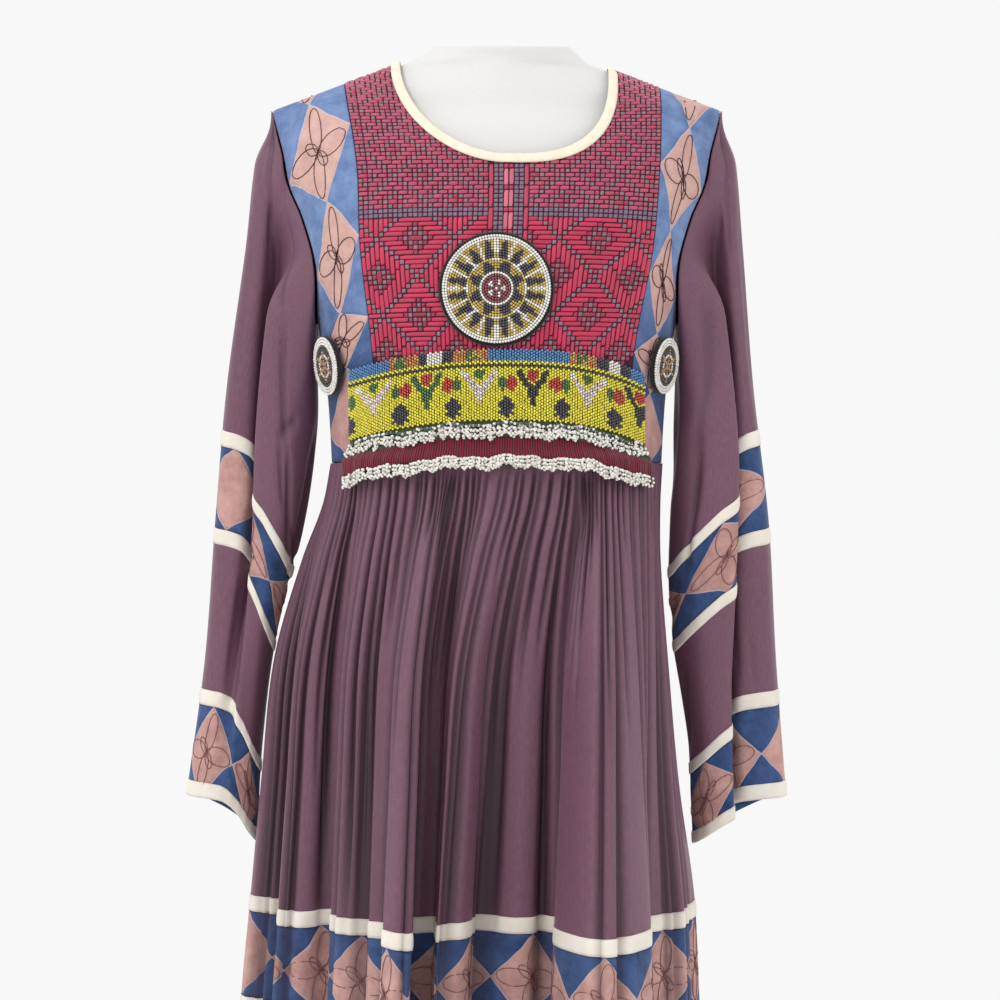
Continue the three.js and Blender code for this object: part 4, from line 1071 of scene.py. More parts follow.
def add_sleeve(side, plum, pieced, cream, patches):
    """A sleeve; patches are the places round it, 0 to 1, of a diamond's middle in its two bands."""
    label = "left" if side < 0 else "right"
    columns = 168
    outward = -1 if side > 0 else 1
    tape_1, tape_2, tape_3, tape_4 = SLEEVE_TAPES
    step = TAPE_HEIGHT + SEAM_GAP
    flowers = []

    def cloth(distances):
        grid = sleeve_grid(side, distances, columns)
        around, down = np.meshgrid(np.arange(columns) / columns * SLEEVE_ROUND, distances)
        scaled = [
            (a0 * SLEEVE_ROUND, b0, a1 * SLEEVE_ROUND, b1, width, deep)
            for a0, b0, a1, b1, width, deep in SLEEVE_CREASES[label]
        ]
        depth = crease_depth(around, down, scaled)
        grid = grid - grid_normals(grid, True, outward) * depth[..., None]
        # the crease depth also sets the painted shade in the bottom of the creases
        return grid, np.clip(depth / DEEP_FOLD, 0, 1) * 0.55

    pieces = (
        ("sleeve", "upper", np.linspace(0, tape_1 + TAPE_HEIGHT, 62), None),
        ("sleeve_band", "patchwork", np.linspace(tape_1 + step, tape_2 - SEAM_GAP, 18), patches[0]),
        ("forearm", "lower", np.linspace(tape_2, tape_3 + TAPE_HEIGHT, 34), None),
        ("cuff", "cuff_patchwork", np.linspace(tape_3 + step, tape_4 + TAPE_HEIGHT, 20), patches[1]),
    )
    above = "side_front_" + label
    for name, part, distances, centre in pieces:
        grid, fold = cloth(distances)
        node = f"sleeve_{label}_{part}"
        maps = {"fold": fold}
        if centre is not None:
            across = 4 * (np.arange(columns + 1) / columns - centre) + (PATCH_START + 0.5)
            maps["patch"] = np.stack(np.meshgrid(across, np.linspace(0, 1, len(distances))), -1)
            open_grid = np.concatenate([grid, grid[:, :1]], 1)
            for middle in np.arange(math.floor(across[0]), math.ceil(across[-1])) + 0.5:
                if across[0] < middle - 0.42 and middle + 0.42 < across[-1]:
                    flowers.append(petals(open_grid, across, middle, outward))
        add_sheet(
            f"{name}_{label}", grid, True, plum if centre is None else pieced,
            "plum_cloth" if centre is None else "patchwork", node, "hung", [above],
            flip=side > 0, **maps,
        )
        above = f"{name}_{label}"
    for i, (top, under) in enumerate(zip(SLEEVE_TAPES, ("sleeve", "forearm", "forearm", "cuff"))):
        grid, fold = cloth(np.linspace(top, top + TAPE_HEIGHT, 6))
        over = tape_over(grid, True, TAPE_LIFT, outward)
        add_sheet(
            f"sleeve_tape_{i + 1}_{label}", over, True, cream, "cream_tape", f"sleeve_{label}_tape_{i + 1}",
            "laid", [f"{under}_{label}"], wall=0.5, flip=side > 0, fold=fold * 0.5,
        )
    return flowers


def add_bodice(ground, pieced, plum, bound):
    flowers = []
    form = ["dress_form_body"]
    grid = panel_grid(yoke_left, yoke_right, 101, 60, "front")
    add_sheet("yoke", grid, False, ground, "red_embroidery", "front_yoke", "hung", form, flip=True)

    back_edge = SEAM_GAP / 2
    back_left, back_right = lambda z: back_edge - armhole_x(z), lambda z: armhole_x(z) - back_edge
    grid = panel_grid(back_left, back_right, 121, 70, "back")
    random = np.random.default_rng(5)
    weave = flat_places(grid, False)
    folds = [
        (x, 30 + 40 * random.random(), x + random.uniform(-14, 14), random.uniform(160, 290), 8, 1.6)
        for x in np.linspace(40, weave[0, -1, 0] - 40, 9)
    ]
    depth = crease_depth(weave[..., 0], weave[..., 1], folds)
    grid = grid - grid_normals(grid, False, 1) * depth[..., None] * smooth(grid[:, :, 1], 4, 20)[..., None]
    # the crease depth also sets the painted shade in the bottom of the folds
    add_sheet("bodice_back", grid, False, plum, "plum_cloth", "back", "hung", form, fold=depth / DEEP_FOLD)

    columns, levels = 33, 90
    fading = (1110, 1230)  # the heights between which the dyes of the side panels grow pale

    for label, left, right in (
        ("left", back_left, lambda z: yoke_left(z) - SEAM_GAP),
        ("right", lambda z: yoke_right(z) + SEAM_GAP, back_right),
    ):
        grid = panel_grid(left, right, columns, levels, "front")
        z = grid[..., 2]
        middle = (left(z) + right(z)) / 2
        slanted = z - PANEL_PATCHES[label]["slant"] * (grid[..., 0] - middle)
        meets = np.array(PANEL_PATCHES[label]["meets"][::-1], float)
        down = np.interp(slanted, meets, np.arange(len(meets), 0, -1.0))
        across = np.linspace(0, 1, columns)
        panel = add_sheet(
            "patchwork_side_" + label, grid, False, pieced, "patchwork", "side_front_" + label, "hung",
            form, flip=True, patch=np.stack([np.broadcast_to(across, z.shape), down], -1),
        )
        pale = panel.data.attributes.new("pale", "FLOAT", "POINT")
        heights = np.array([v.co.z for v in panel.data.vertices]) / MM
        pale.data.foreach_set("value", smooth(heights, *fading).astype(np.float32))
        for diamond in (1, 2, 3, 4):

            def rows(u, v, down=down, diamond=diamond):
                places = np.clip(u * (columns - 1), 0, columns - 1).astype(int)
                at = -(v + diamond)
                return np.array([
                    np.interp(h, -down[:, place], np.arange(levels)) for h, place in zip(at, places)
                ])

            flowers.append(petals(grid, across, 0.5, -1, rows=rows))

    insets = (0, 1, 3.75, 6.5, 7.5)
    lifts = (0.6, 1.3, 1.6, 1.4, 0.6)
    turns = np.linspace(0, math.pi, 90)
    turns = np.unique(np.concatenate([turns, [0.02, 0.05, math.pi - 0.05, math.pi - 0.02]]))
    rings = []
    for inset, lift in zip(insets, lifts):
        x = NECK_CENTRE_X - (NECK_HALF_WIDTH - inset) * np.cos(turns)
        front = bodice_point(x, neckline_z(x, "front", inset), "front", lift)
        back = bodice_point(x[1:-1], neckline_z(x[1:-1], "back", inset), "back", lift)[::-1]
        rings.append(np.concatenate([front, back]))
    binding = np.array(rings)
    add_sheet(
        "neck_bias_binding", binding, True, bound, "binding", "neck_binding", "folded",
        ["yoke", "bodice_back"], wall=0.8,
    )
    return flowers


# Embroidery of the yoke, on squares of a counted grid: 60 across it, and rows up from the grey band

STITCH_COLUMNS = 60
STITCH_ROW = 4.1
GREY_BAND_Z = 1259.6
FIRST_ROW, LAST_ROW = -34, 62
LOWEST_STITCH_Z = 1124  # the belt covers the cloth below
YOKE_WIDTH = 230
FLOSS = {
    "bright": "#BE1144",
    "crimson": "#980E38",
    "rose": "#AE2449",
    "pale": "#AD3D5B",
    "grey": "#7C6670",
    "slate": "#6A6078",
    "pink": "#CC6478",
}


def rhombs_of(i, j):
    """Distance to the middle of the nearest rhomb, whether its bars are upright, and half its height."""
    if j > 0:
        columns = ((4.5, 8), (10.5, 14), (16.5, 8), (22.5, 14), (28.5, 8))
        middles = [(a, b + 12 * k, False) for a, b in columns for k in (-1, 0, 1, 2, 3, 4)]
        half = 6
    else:
        middles = [(a, b, False) for a in (2.5, 18.5) for b in (-6, -22)]
        middles += [(a, b, True) for a in (10.5, 26.5) for b in (2, -14, -30)]
        half = 8
    return min((abs(i - a) + abs(j - b), upright) for a, b, upright in middles), half


def stitch_at(column, j):
    """Floss of a square and the direction of its stitch."""
    i = abs(column - STITCH_COLUMNS / 2 + 0.5)
    if i < 1 and j > -20:
        return "pink" if j % 5 else "rose", "upright"
    if i < 3 and j > -20:
        return "slate", "square"
    if i < 4:
        return "rose" if j > 0 else "bright", "upright"
    if j in (-1, 0):
        return "slate", "square"
    (away, upright), half = rhombs_of(i, j)
    if away in (half, 2):
        return "grey", "square"
    if j > 0:
        return ("pale" if away > 2 else "rose"), "level"
    return ("bright" if away > 3 else "crimson"), "upright" if upright else "level"


def stitch_runs():
    """Stitches as column, row, columns, rows, floss and direction: bars join squares of one floss."""
    plan = {(c, j): stitch_at(c, j) for c in range(STITCH_COLUMNS) for j in range(FIRST_ROW, LAST_ROW)}
    taken, runs = set(), []
    for j in range(FIRST_ROW, LAST_ROW):
        for c in range(STITCH_COLUMNS):
            if (c, j) in taken:
                continue
            floss, way = plan[c, j]
            longest = {"square": 1, "level": 2 if j > 0 else 8, "upright": 5}[way]
            step = (0, 1) if way == "upright" else (1, 0)
            reach = 1
            while reach < longest:
                beside = (c + step[0] * reach, j + step[1] * reach)
                if plan.get(beside) != (floss, way) or beside in taken:
                    break
                reach += 1
            taken.update((c + step[0] * k, j + step[1] * k) for k in range(reach))
            runs.append((c, j, 1 + step[0] * (reach - 1), 1 + step[1] * (reach - 1), floss, way))
    return runs


def stitch_heights():
    """Height of each row of the stitch grid at each of its columns, measured along the cloth."""
    shares = np.linspace(0, 1, STITCH_COLUMNS + 1)
    tops = panel_top(yoke_left, yoke_right, shares, "front")
    rows = np.arange(FIRST_ROW, LAST_ROW + 1) * STITCH_ROW
    heights, reach = [], []
    for share, top in zip(shares, tops):
        z = mix(WAIST_Z + 10, top - 0.2, 1 - np.linspace(1, 0, 500) ** 2)
        line = bodice_point(mix(yoke_left(z), yoke_right(z), share), z, "front")
        walked = np.concatenate([[0], np.cumsum(np.linalg.norm(np.diff(line, axis=0), axis=1))])
        walked -= np.interp(GREY_BAND_Z, z, walked)
        heights.append(np.interp(rows, walked, z))
        reach.append(walked[-1] / STITCH_ROW)
    return np.array(heights), np.array(reach)


def add_embroidery(finish):
    heights, reach = stitch_heights()
    random = np.random.default_rng(11)
    across = np.array([0, 0.2, 0.8, 1.0])
    end = 0.09  # cloth left bare at each end of a stitch, as a share of a square
    stitches, dyes, places = [], [], []
    for c, j, wide, tall, floss, way in stitch_runs():
        if j + tall - 0.6 > reach[c : c + wide + 1].min() or heights[c, j - FIRST_ROW] < LOWEST_STITCH_Z:
            continue
        jitter = random.uniform(-0.05, 0.05, 4)
        s = mix(c + end + jitter[0], c + wide - end + jitter[1], across) / STITCH_COLUMNS
        r = mix(j + end + jitter[2], j + tall - end + jitter[3], across) - 0.5
        s, r = np.clip(s, 0.002, 0.998)[None, :], r[:, None]
        column, row = s * STITCH_COLUMNS, np.clip(r - FIRST_ROW, 0, LAST_ROW - FIRST_ROW - 0.01)
        c0, r0 = column.astype(int), row.astype(int)
        lower = mix(heights[c0, r0], heights[c0 + 1, r0], column - c0)
        upper = mix(heights[c0, r0 + 1], heights[c0 + 1, r0 + 1], column - c0)
        z = mix(lower, upper, row - r0)
        x = mix(yoke_left(z), yoke_right(z), s)
        inside = np.array([0, 1, 1, 0])[:, None] * np.array([0, 1, 1, 0])[None, :]
        full = {"square": 0.45, "level": 0.85, "upright": 0.85}[way] * random.uniform(0.85, 1.1)
        stitches.append(bodice_point(x, z, "front", np.where(inside, full, -0.1)))
        shade = random.uniform(0.82, 1.12)
        dyes.append(np.array([min(1, v * shade) for v in linear(FLOSS[floss])[:3]] + [1]))
        x_mm, z_mm = np.broadcast_arrays(s * YOKE_WIDTH, r * STITCH_ROW)
        shift = random.uniform(0, 50)
        along = (z_mm, x_mm + shift) if way == "upright" else (x_mm, z_mm + shift)
        places.append(np.stack(along, -1))
    points = np.array(stitches)
    first = [4 * row + column for row in range(3) for column in range(3)]
    corners = np.array([(k, k + 1, k + 5, k + 4) for k in first])
    faces = (np.arange(len(points))[:, None, None] * 16 + corners[None]).reshape(-1, 4)
    piece = add_mesh("satin_stitches", points.reshape(-1, 3), faces.tolist(), finish)
    add_uv(piece, "Weave", np.array(places).reshape(-1, 2)[faces])
    add_dye(piece, np.repeat(np.array(dyes), 16, 0))
    carry(piece, "red_embroidery")


def add_dye(piece, dyes):
    layer = piece.data.attributes.new("dye", "FLOAT_COLOR", "POINT")
    layer.data.foreach_set("color", np.asarray(dyes, np.float32).ravel())


# Beadwork

GLASS = {
    ".": "#E6DA22",
    "k": "#17151A",
    "r": "#C12A20",
    "g": "#3C6A34",
    "w": "#EFEDE6",
    "p": "#DDBDB8",
    "n": "#1C1B3C",
    "o": "#C96A38",
    "b": "#3D80B8",
    "y": "#BFA545",
    "d": "#24463C",
    "m": "#7C2B3A",
    "t": "#B98C5A",
}

# One repeat of the belt's flower, and of the leaf beside it, a letter a bead from GLASS
BRANCH = """
    ....................
    ....kk..rrrr..kk....
    ....kkk.rrrr.kkk....
    .rr..kk.rrrr.kk..rr.
    rrrr.kkk.rr.kkk.rrrr
    rrrr..kkk..kkk..rrrr
    rrrr...kkkkkk...rrrr
    .rr.....kkkk.....rr.
    ........kkkk........
    ........kkkk........
    n........kk........n
    nn.......kk.......nn
    nnn......kk......nnn
    nnn..............nnn
    nn................nn
    nnn..............nnn
    n..................n
    ....................
""".split()
LEAF = """
    ....................
    ...ww...gggg...ww...
    ...www..gggg..www...
    .g..ppp..gg..ppp..g.
    ggg..www....www..ggg
    ggg...ppp..ppp...ggg
    ggg...wwwwwwww...ggg
    .g.....pppppp.....g.
    ........wwww........
    ........pppp........
    n........ww........n
    nn.......pp.......nn
    nnn..............nnn
    nnn..............nnn
    nn................nn
    nnn..............nnn
    n..................n
    ....................
""".split()
FIRST_MOTIF_X = -126  # a leaf comes first, and each is 20 beads wide

# The belt's edging from the left: its beads, and how far across each colour reaches
EDGING = (
    ("b", -90), ("o", -85), ("g", -75), ("o", -66), ("n", -58), ("w", -45), ("n", -36), ("o", -26),
    ("g", -17), ("o", -7), ("b", 61), ("o", 68), ("g", 76), ("o", 84), ("n", 95), ("w", 104), ("n", 114),
    ("b", 130),
)


def add_beads(name, centres, axes, outward, dyes, radius, length, finish, slot, *nodes):
    """Seed beads as one mesh: rounded six-sided barrels along their threads."""
    centres, axes, outward = (np.asarray(a, float).reshape(-1, 3) for a in (centres, axes, outward))
    axes = unit(axes)
    side = unit(np.cross(outward, axes))
    out = np.cross(axes, side)
    turns = np.arange(6) * math.pi / 3
    levels = ((-0.5, 0.66), (0.0, 1.0), (0.5, 0.66))
    spokes = side[:, None] * np.cos(turns)[None, :, None] + out[:, None] * np.sin(turns)[None, :, None]
    rings = [
        centres[:, None] + axes[:, None] * level * length + radius * girth * spokes
        for level, girth in levels
    ]
    points = np.stack(rings, 1).reshape(-1, 3)
    sides = [
        (6 * r + k, 6 * r + (k + 1) % 6, 6 * r + 6 + (k + 1) % 6, 6 * r + 6 + k)
        for r in range(2) for k in range(6)
    ]
    shape = sides + [(5, 4, 3, 2, 1, 0), (12, 13, 14, 15, 16, 17)]
    faces = [tuple(18 * b + corner for corner in face) for b in range(len(centres)) for face in shape]
    piece = add_mesh(name, points, faces, finish)
    add_dye(piece, np.repeat(np.asarray(dyes), 18, 0))
    carry(piece, slot, *nodes)


def glass_of(letters, random):
    """Linear colours of beads, each a little lighter or darker than the next."""
    colours = np.array([linear(GLASS[letter]) for letter in letters])
    colours[:, :3] *= random.uniform(0.82, 1.1, (len(letters), 1))
    return np.clip(colours, 0, 1)


def belt_columns():
    """Positions across the belt of its columns of beads, evenly spaced on the curve of the waist."""
    x = np.linspace(BELT["left"] + 1, BELT["right"] - 1, 800)
    curve, _ = front_point(x, 1100 + 0 * x, BELT["lift"])
    walked = np.concatenate([[0], np.cumsum(np.linalg.norm(np.diff(curve, axis=0), axis=1))])
    return np.interp(np.arange(0, walked[-1], SEED), walked, x)


def panel_letter(x, row):
    if row == 0:
        return "."
    if row == 1:
        return "k"
    column = int((x - FIRST_MOTIF_X) / SEED)
    motif = column // 20
    letter = (BRANCH if motif % 2 else LEAF)[row - 2][column % 20]
    return "g" if letter == "k" and motif == 1 else letter


def add_belt(glass, tape, backing):
    random = np.random.default_rng(3)
    columns = belt_columns()
    row_step = 2.5
    for name, node, slot, top, rows, lift in (
        ("belt_edging_beads", "belt_bead_edging", "blue_beads", 0, 4, 2.6),
        ("belt_panel_beads", "belt_beaded_panel", "yellow_beads", 10, 20, 2.9),
    ):
        centres, letters, outward = [], [], []
        for row in range(rows):
            shift = 0.5 * (np.arange(len(columns)) % 2)
            z = BELT["top"] - top - belt_sag(columns) - row_step * (row + 0.4 + shift)
            wobble = random.uniform(-0.25, 0.25, len(columns))
            place, away = front_point(columns + wobble, z, BELT["lift"] + lift - 0.9 + 0.3 * wobble)
            centres.append(place)
            outward.append(away)
            for x in columns:
                edge = next(letter for letter, reach in EDGING if x < reach)
                if top == 0 and edge in "go" and random.random() < 0.3:
                    edge = "y"
                letters.append(edge if top == 0 else panel_letter(x, row))
        centres, outward = np.concatenate(centres), np.concatenate(outward)
        up = np.broadcast_to([0.0, 0.0, 1.0], centres.shape)
        dyes = glass_of(letters, random)
        add_beads(name, centres, up, outward, dyes, 1.22, 2.1, glass, slot, node)

    for name, node, top, tall, seed in (
        ("upper_bead_loops", "belt_bead_fringe_upper", 60, 15, 21),
        ("lower_bead_loops", "belt_bead_fringe_lower", 89, 12, 22),
    ):
        random = np.random.default_rng(seed)
        centres, axes, letters = [], [], []
        for layer in (0, 1):
            for k in range(LOOPS):
                share = (k + 0.5 * layer + random.uniform(-0.3, 0.3)) / LOOPS
                x = mix(BELT["left"] + 2, BELT["right"] - 2, share)
                lean, turn = random.uniform(-0.45, 0.45), random.uniform(0, math.pi)
                drop = tall * random.uniform(0.7, 1.08)
                wave = 2.0 * math.sin(x / 9) + 1.6 * math.sin(x / 3.7)
                for b in range(LOOP_BEADS):
                    angle = (b - LOOP_BEADS // 2) * 0.78
                    swing = 2.8 * math.sin(angle)
                    down = drop * (0.56 + 0.4 * math.cos(angle))
                    bead_x = x + swing * math.cos(turn) + lean * down * 0.35
                    bead_x = min(max(bead_x, BELT["left"] + 1), BELT["right"] - 1)
                    z = BELT["top"] - top - float(belt_sag(np.array(bead_x))) - down + wave * 0.6
                    lift = BELT["lift"] + 1.6 + 1.9 * layer + 1.1 * swing * math.sin(turn) / 2.3
                    centres.append(front_point(np.array(bead_x), np.array(z), lift)[0])
                    flat = math.cos(angle)
                    axes.append((flat * math.cos(turn) + 0.2, flat * math.sin(turn), 0.4 - math.sin(angle)))
                    is_end = b in (0, LOOP_BEADS - 1)
                    is_dark = node.endswith("upper") and is_end and random.random() < 0.55
                    letters.append("d" if is_dark else "w")
        centres = np.array(centres)
        away = np.broadcast_to([0.1, -1.0, 0.1], centres.shape)
        dyes = glass_of(letters, random)
        add_beads(name, centres, axes, away, dyes, 1.45, 2.1, glass, "white_beads", node)

    across = np.linspace(BELT["left"], BELT["right"], 260)
    sag = belt_sag(across)
    ripple = 0.7 * np.sin(across * 0.55) + 0.5 * np.sin(across * 1.31 + 1)
    z = BELT["top"] - sag[None, :] - np.linspace(74.5, 92, 9)[:, None]
    bulge = np.sin(np.linspace(0, math.pi, 9))[:, None]
    lift = BELT["lift"] + 1.2 + bulge * (0.7 + 0.6 * ripple)
    grid, _ = front_point(np.broadcast_to(across, z.shape), z, lift)
    add_sheet(
        "belt_ruched_tape", grid, False, tape, "red_tape", "belt_red_tape", "laid", ["belt_backing"],
        wall=0.5,
    )
    z = BELT["top"] - sag[None, :] - np.linspace(1.5, 98, 30)[:, None]
    grid, _ = front_point(np.broadcast_to(across, z.shape), z, BELT["lift"] + 0.5)
    piece = add_cloth("belt_backing", grid, False, backing, flat_places(grid, False), wall=0.6)
    carry(piece, "black_felt")


def disc_letter(share, turn, is_front):
    """Bead at a share of a medallion's radius and part of a turn round it."""
    if share > (0.9 if is_front else 0.76):
        return "w"
    if not is_front:
        if share > 0.62:
            return "k"
        point = abs((turn * 6) % 1 - 0.5)
        if point < 0.3 * (1 - share / 0.64) + 0.06:
            return "t"
        return "w" if 0.36 < share < 0.44 else "k"
    if share > 0.58:
        point = abs((turn * 16) % 1 - 0.5)
        if point > 0.4:
            return "w"
        return "n" if point < 0.36 * (0.92 - share) / 0.34 + 0.04 else "y"
    if share > 0.33:
        point = abs((turn * 8) % 1 - 0.5)
        if share > 0.53:
            return "w" if point > 0.3 else "y"
        return "n" if point < 0.42 * (0.56 - share) / 0.23 + 0.05 else "y"
    if share > 0.26:
        return "w"
    petal = math.cos(5 * 2 * math.pi * turn)
    return "w" if share < 0.05 or (0.08 < share < 0.2 and petal > 0.2) else "m"


def add_medallions(glass, felt):
    for label, facts in MEDALLIONS.items():
        x, z, radius = facts["x"], facts["z"], facts["radius"]
        middle = bodice_point(np.array(float(x)), np.array(float(z)), "front")
        raised = bodice_point(np.array(float(x)), np.array(float(z)), "front", 1.0)
        out = unit(raised - middle) if facts["stiff"] else np.array([0.0, -1.0, 0.0])
        across = unit(np.array([-out[1], out[0], 0.0]))
        up = np.cross(across, -out)

        def place(u, v, lift):
            p = middle + across * u[..., None] + up * v[..., None]
            if not facts["stiff"]:
                p[..., 1] = -bodice_depth(p[..., 0], p[..., 2], "front")
            return p + out * np.asarray(lift)[..., None]

        random = np.random.default_rng(int(radius))
        centres, axes, letters = [], [], []
        rings = int(radius / 2.3)
        for ring in range(rings + 1):
            r = ring * radius * 0.975 / rings
            count = max(1, round(2 * math.pi * r / 2.4))
            turns = (np.arange(count) + 0.5 * (ring % 2)) / count
            angle = 2 * math.pi * turns
            dome = 6.4 + 0.9 * math.sqrt(max(0, 1 - (r / radius) ** 2)) + random.uniform(-0.15, 0.15, count)
            centres.append(place(r * np.cos(angle), r * np.sin(angle), dome))
            axes.append(-across * np.sin(angle)[:, None] + up * np.cos(angle)[:, None])
            letters += [disc_letter(ring / rings, t, label == "front") for t in turns]
        centres = np.concatenate(centres)
        outward = np.broadcast_to(out, centres.shape)
        add_beads(
            f"{label}_medallion_seed_beads", centres, np.concatenate(axes), outward,
            glass_of(letters, random), 1.28, 2.1, glass, "white_beads", f"{label}_medallion_beads",
        )
        turns = np.linspace(0, 2 * math.pi, 73)[:-1]
        profile = ((0.5, 4.9), (0.93, 5.0), (1.03, 4.4), (1.06, 3.4), (1.06, 2.2), (1.03, 1.5))
        points = [place(np.zeros(1), np.zeros(1), 4.9)]
        for share, lift in profile:
            r = share * radius
            points.append(place(r * np.cos(turns), r * np.sin(turns), lift))
        points.append(place(np.zeros(1), np.zeros(1), 1.45))
        faces = fan_faces(len(turns), len(profile))
        piece = add_mesh(f"{label}_felt_disc", np.concatenate(points), faces, felt)
        recalculate(piece)
        carry(piece, "black_felt", f"{label}_medallion_felt")


def fan_faces(columns, rings):
    """Faces of a closed shape: a first point, rings of points, and a last point."""
    faces = [(0, 1 + k, 1 + (k + 1) % columns) for k in range(columns)]
    for r in range(rings - 1):
        for k in range(columns):
            n = (k + 1) % columns
            a, b = 1 + r * columns, 1 + (r + 1) * columns
            faces.append((a + k, b + k, b + n, a + n))
    last = 1 + rings * columns
    start = last - columns
    faces += [(last, start + (k + 1) % columns, start + k) for k in range(columns)]
    return faces


def recalculate(piece):
    """Turns the piece's faces outwards."""
    select_only(piece)
    bpy.ops.object.mode_set(mode="EDIT")
    bpy.ops.mesh.select_all(action="SELECT")
    bpy.ops.mesh.normals_make_consistent(inside=False)
    bpy.ops.object.mode_set(mode="OBJECT")


# Dress form and its stand


def add_form(jersey):
    """A body of jersey over padding, with rounded shoulders and a neck cut off aslant."""
    columns = 72
    turn = np.arange(columns) * 2 * math.pi / columns
    below, above = FORM["z"][0], FORM["z"][-1]
    heights = np.concatenate([np.linspace(below, 1330, 40), np.linspace(1336, above, 34)])

    def ring(z, share=1.0):
        side, front, back, square = (
            float(read(FORM, "z", z, column)) for column in ("side", "front", "back", "squareness")
        )
        neck = float(smooth(np.array(z), 1396, above))
        power = 2 / square
        y = np.where(np.sin(turn) < 0, front, back) * signed_power(np.sin(turn), power) * share
        x = side * signed_power(np.cos(turn), power) * share + NECK_SHIFT * neck
        return points_of(x, y, z + NECK_CUT_SLOPE * neck * y)

    rings = [ring(below, 0.5)] + [ring(z) for z in heights]
    for share, rise in ((0.985, 0.4), (0.95, 0.5), (0.5, 0.5)):
        rings.append(ring(above, share) + np.array([0, 0, rise]))
    bottom, top = np.array([[0, 0, below]]), np.array([[NECK_SHIFT, 0, above + 0.5]])
    points = np.concatenate([bottom, *rings, top])
    piece = add_mesh("form_body", points, fan_faces(columns, len(rings)), jersey)
    recalculate(piece)
    carry(piece, "form_jersey", "dress_form_body")


def select_faces(piece, is_wanted):
    """Selects the faces whose middle and normal are wanted, in edit mode."""
    bpy.ops.object.mode_set(mode="OBJECT")
    for polygon in piece.data.polygons:
        polygon.select = bool(is_wanted(polygon.center, polygon.normal))
    bpy.ops.object.mode_set(mode="EDIT")


def finish_hard(name, finish, slot, node):
    """Names the active piece, puts its place into its mesh and lets it stand for its node."""
    bpy.ops.object.mode_set(mode="OBJECT")
    piece = bpy.context.active_object
    piece.name = name
    bpy.ops.object.transform_apply(location=True, rotation=True, scale=True)
    edges = {"limit_method": "ANGLE", "angle_limit": math.radians(30)}
    apply_modifier(piece, "BEVEL", width=1.2 * MM, segments=3, **edges)
    select_only(piece)
    bpy.ops.object.shade_smooth_by_angle(angle=math.radians(40))
    piece.data.materials.clear()
    piece.data.materials.append(finish)
    carry(piece, slot, node)


def add_stand(steel):
    bpy.ops.object.select_all(action="DESELECT")
    low, high = 40.3 * MM, 845.7 * MM  # 0.3 mm clear of the base and the form
    bpy.ops.mesh.primitive_cylinder_add(
        vertices=64, radius=14 * MM, depth=high - low, location=(0, 0, (low + high) / 2)
    )
    pole = bpy.context.active_object
    bpy.ops.object.mode_set(mode="EDIT")
    bpy.ops.mesh.select_mode(type="FACE")
    select_faces(pole, lambda middle, normal: abs(normal.z) > 0.9)
    bpy.ops.mesh.inset(thickness=2 * MM)
    finish_hard("form_pole", steel, "stand_steel", "stand_pole")

    bpy.ops.object.select_all(action="DESELECT")
    bpy.ops.mesh.primitive_cylinder_add(
        vertices=128, radius=200 * MM, depth=10 * MM, location=(0, 0, 5 * MM)
    )
    base = bpy.context.active_object
    bpy.ops.object.mode_set(mode="EDIT")
    bpy.ops.mesh.select_mode(type="FACE")
    select_faces(base, lambda middle, normal: normal.z > 0.9)
    for inset, rise in ((80, 7.6), (90, 4.4)):
        bpy.ops.mesh.inset(thickness=inset * MM)
        bpy.ops.transform.translate(value=(0, 0, rise * MM))
    bpy.ops.mesh.inset(thickness=5 * MM)
    bpy.ops.mesh.extrude_region_move(TRANSFORM_OT_translate={"value": (0, 0, 18 * MM)})
    finish_hard("form_base", steel, "stand_steel", "stand_base")


# Studio


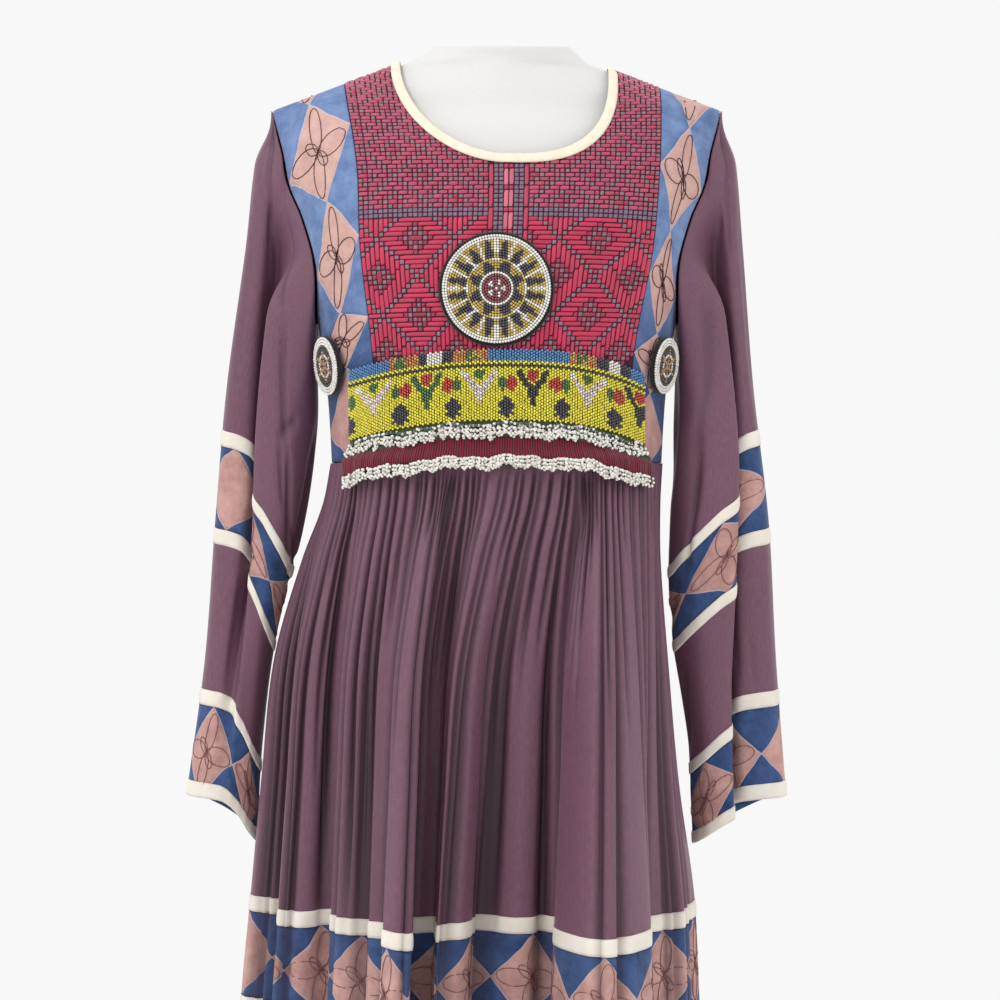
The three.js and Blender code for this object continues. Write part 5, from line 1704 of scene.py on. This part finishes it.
def add_studio():
    camera = bpy.data.objects.new("camera", bpy.data.cameras.new("camera"))
    bpy.context.scene.collection.objects.link(camera)
    camera.location = [v * MM for v in CAMERA]
    camera.rotation_euler = (math.radians(90), 0, 0)
    camera.data.lens = LENS
    camera.data.sensor_width = 36
    bpy.context.scene.camera = camera

    for name, place, size, watts, aim in (
        ("key", (-1.3, -1.6, 2.8), 1.2, 24, (0, 0, 1.0)),
        ("fill", (2.0, -2.0, 1.7), 1.8, 6, (0, 0, 1.0)),
        ("back", (0.4, 1.8, 2.4), 1.4, 12, (0, 0, 1.1)),
    ):
        light = bpy.data.objects.new(name, bpy.data.lights.new(name, "AREA"))
        bpy.context.scene.collection.objects.link(light)
        light.data.size = size
        light.data.energy = watts
        light.location = place
        light.rotation_euler = (Vector(aim) - Vector(place)).to_track_quat("-Z", "Y").to_euler()

    bpy.context.scene.view_settings.view_transform = "Standard"
    world = bpy.data.worlds.new("studio")
    bpy.context.scene.world = world
    world.use_nodes = True
    sky = world.node_tree.nodes["Background"]
    sky.inputs["Color"].default_value = linear("#FFFFFF")
    sky.inputs["Strength"].default_value = 0.94

    bpy.ops.object.select_all(action="DESELECT")
    bpy.ops.mesh.primitive_plane_add(size=4, location=(0, 0, -0.0005))
    floor = bpy.context.active_object
    floor.name = "studio_floor"
    floor.data.materials.append(dyed("painted_floor", "#EDECEA", "#F2F1EF", 30, 0.02, Roughness=0.8))


def main():
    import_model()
    plum = plum_viscose()
    pieced = pieced_cotton()
    cream = cream_cotton()
    glass = seed_bead_glass()
    felt = dyed("black_wool_felt", "#0D0B10", "#242026", 2.5, 0.5, Roughness=0.95, Sheen_Weight=0.3)
    ground = dyed("dark_homespun", "#2C111B", "#512736", 2.0, 0.3, Roughness=0.9)
    bound = dyed("bias_cut_cotton", "#DDD0B6", "#F6EEDD", 6.0, 0.4, Roughness=0.85)
    jersey = dyed("white_cotton_jersey", "#D2D1CF", "#DEDDDB", 2.0, 0.15, Roughness=0.9, Sheen_Weight=0.2)
    thread = dyed("brown_sewing_thread", "#3A2228", "#5C3B42", 1.5, 0.1, Roughness=0.8)
    rose_thread = dyed("rose_sewing_thread", "#7A5054", "#8E6264", 1.5, 0.1, Roughness=0.8)
    backing = dyed("green_lining", "#2E4036", "#5E6640", 3.0, 0.3, Roughness=0.9)
    steel = brushed_steel()

    add_studio()
    add_form(jersey)
    add_stand(steel)
    flowers = add_bodice(ground, pieced, plum, bound)
    add_threads("stitched_flowers", flowers, thread, "patchwork", 0.4)
    faint = add_skirt(plum, pieced, cream)
    faint += add_sleeve(-1, plum, pieced, cream, (0.09, 0.14))
    faint += add_sleeve(1, plum, pieced, cream, (0.15, 0.245))
    add_threads("faint_stitched_flowers", faint, rose_thread, "patchwork", 0.35)
    add_embroidery(silk_floss())
    add_belt(glass, ribbed_tape(), backing)
    add_medallions(glass, felt)


main()
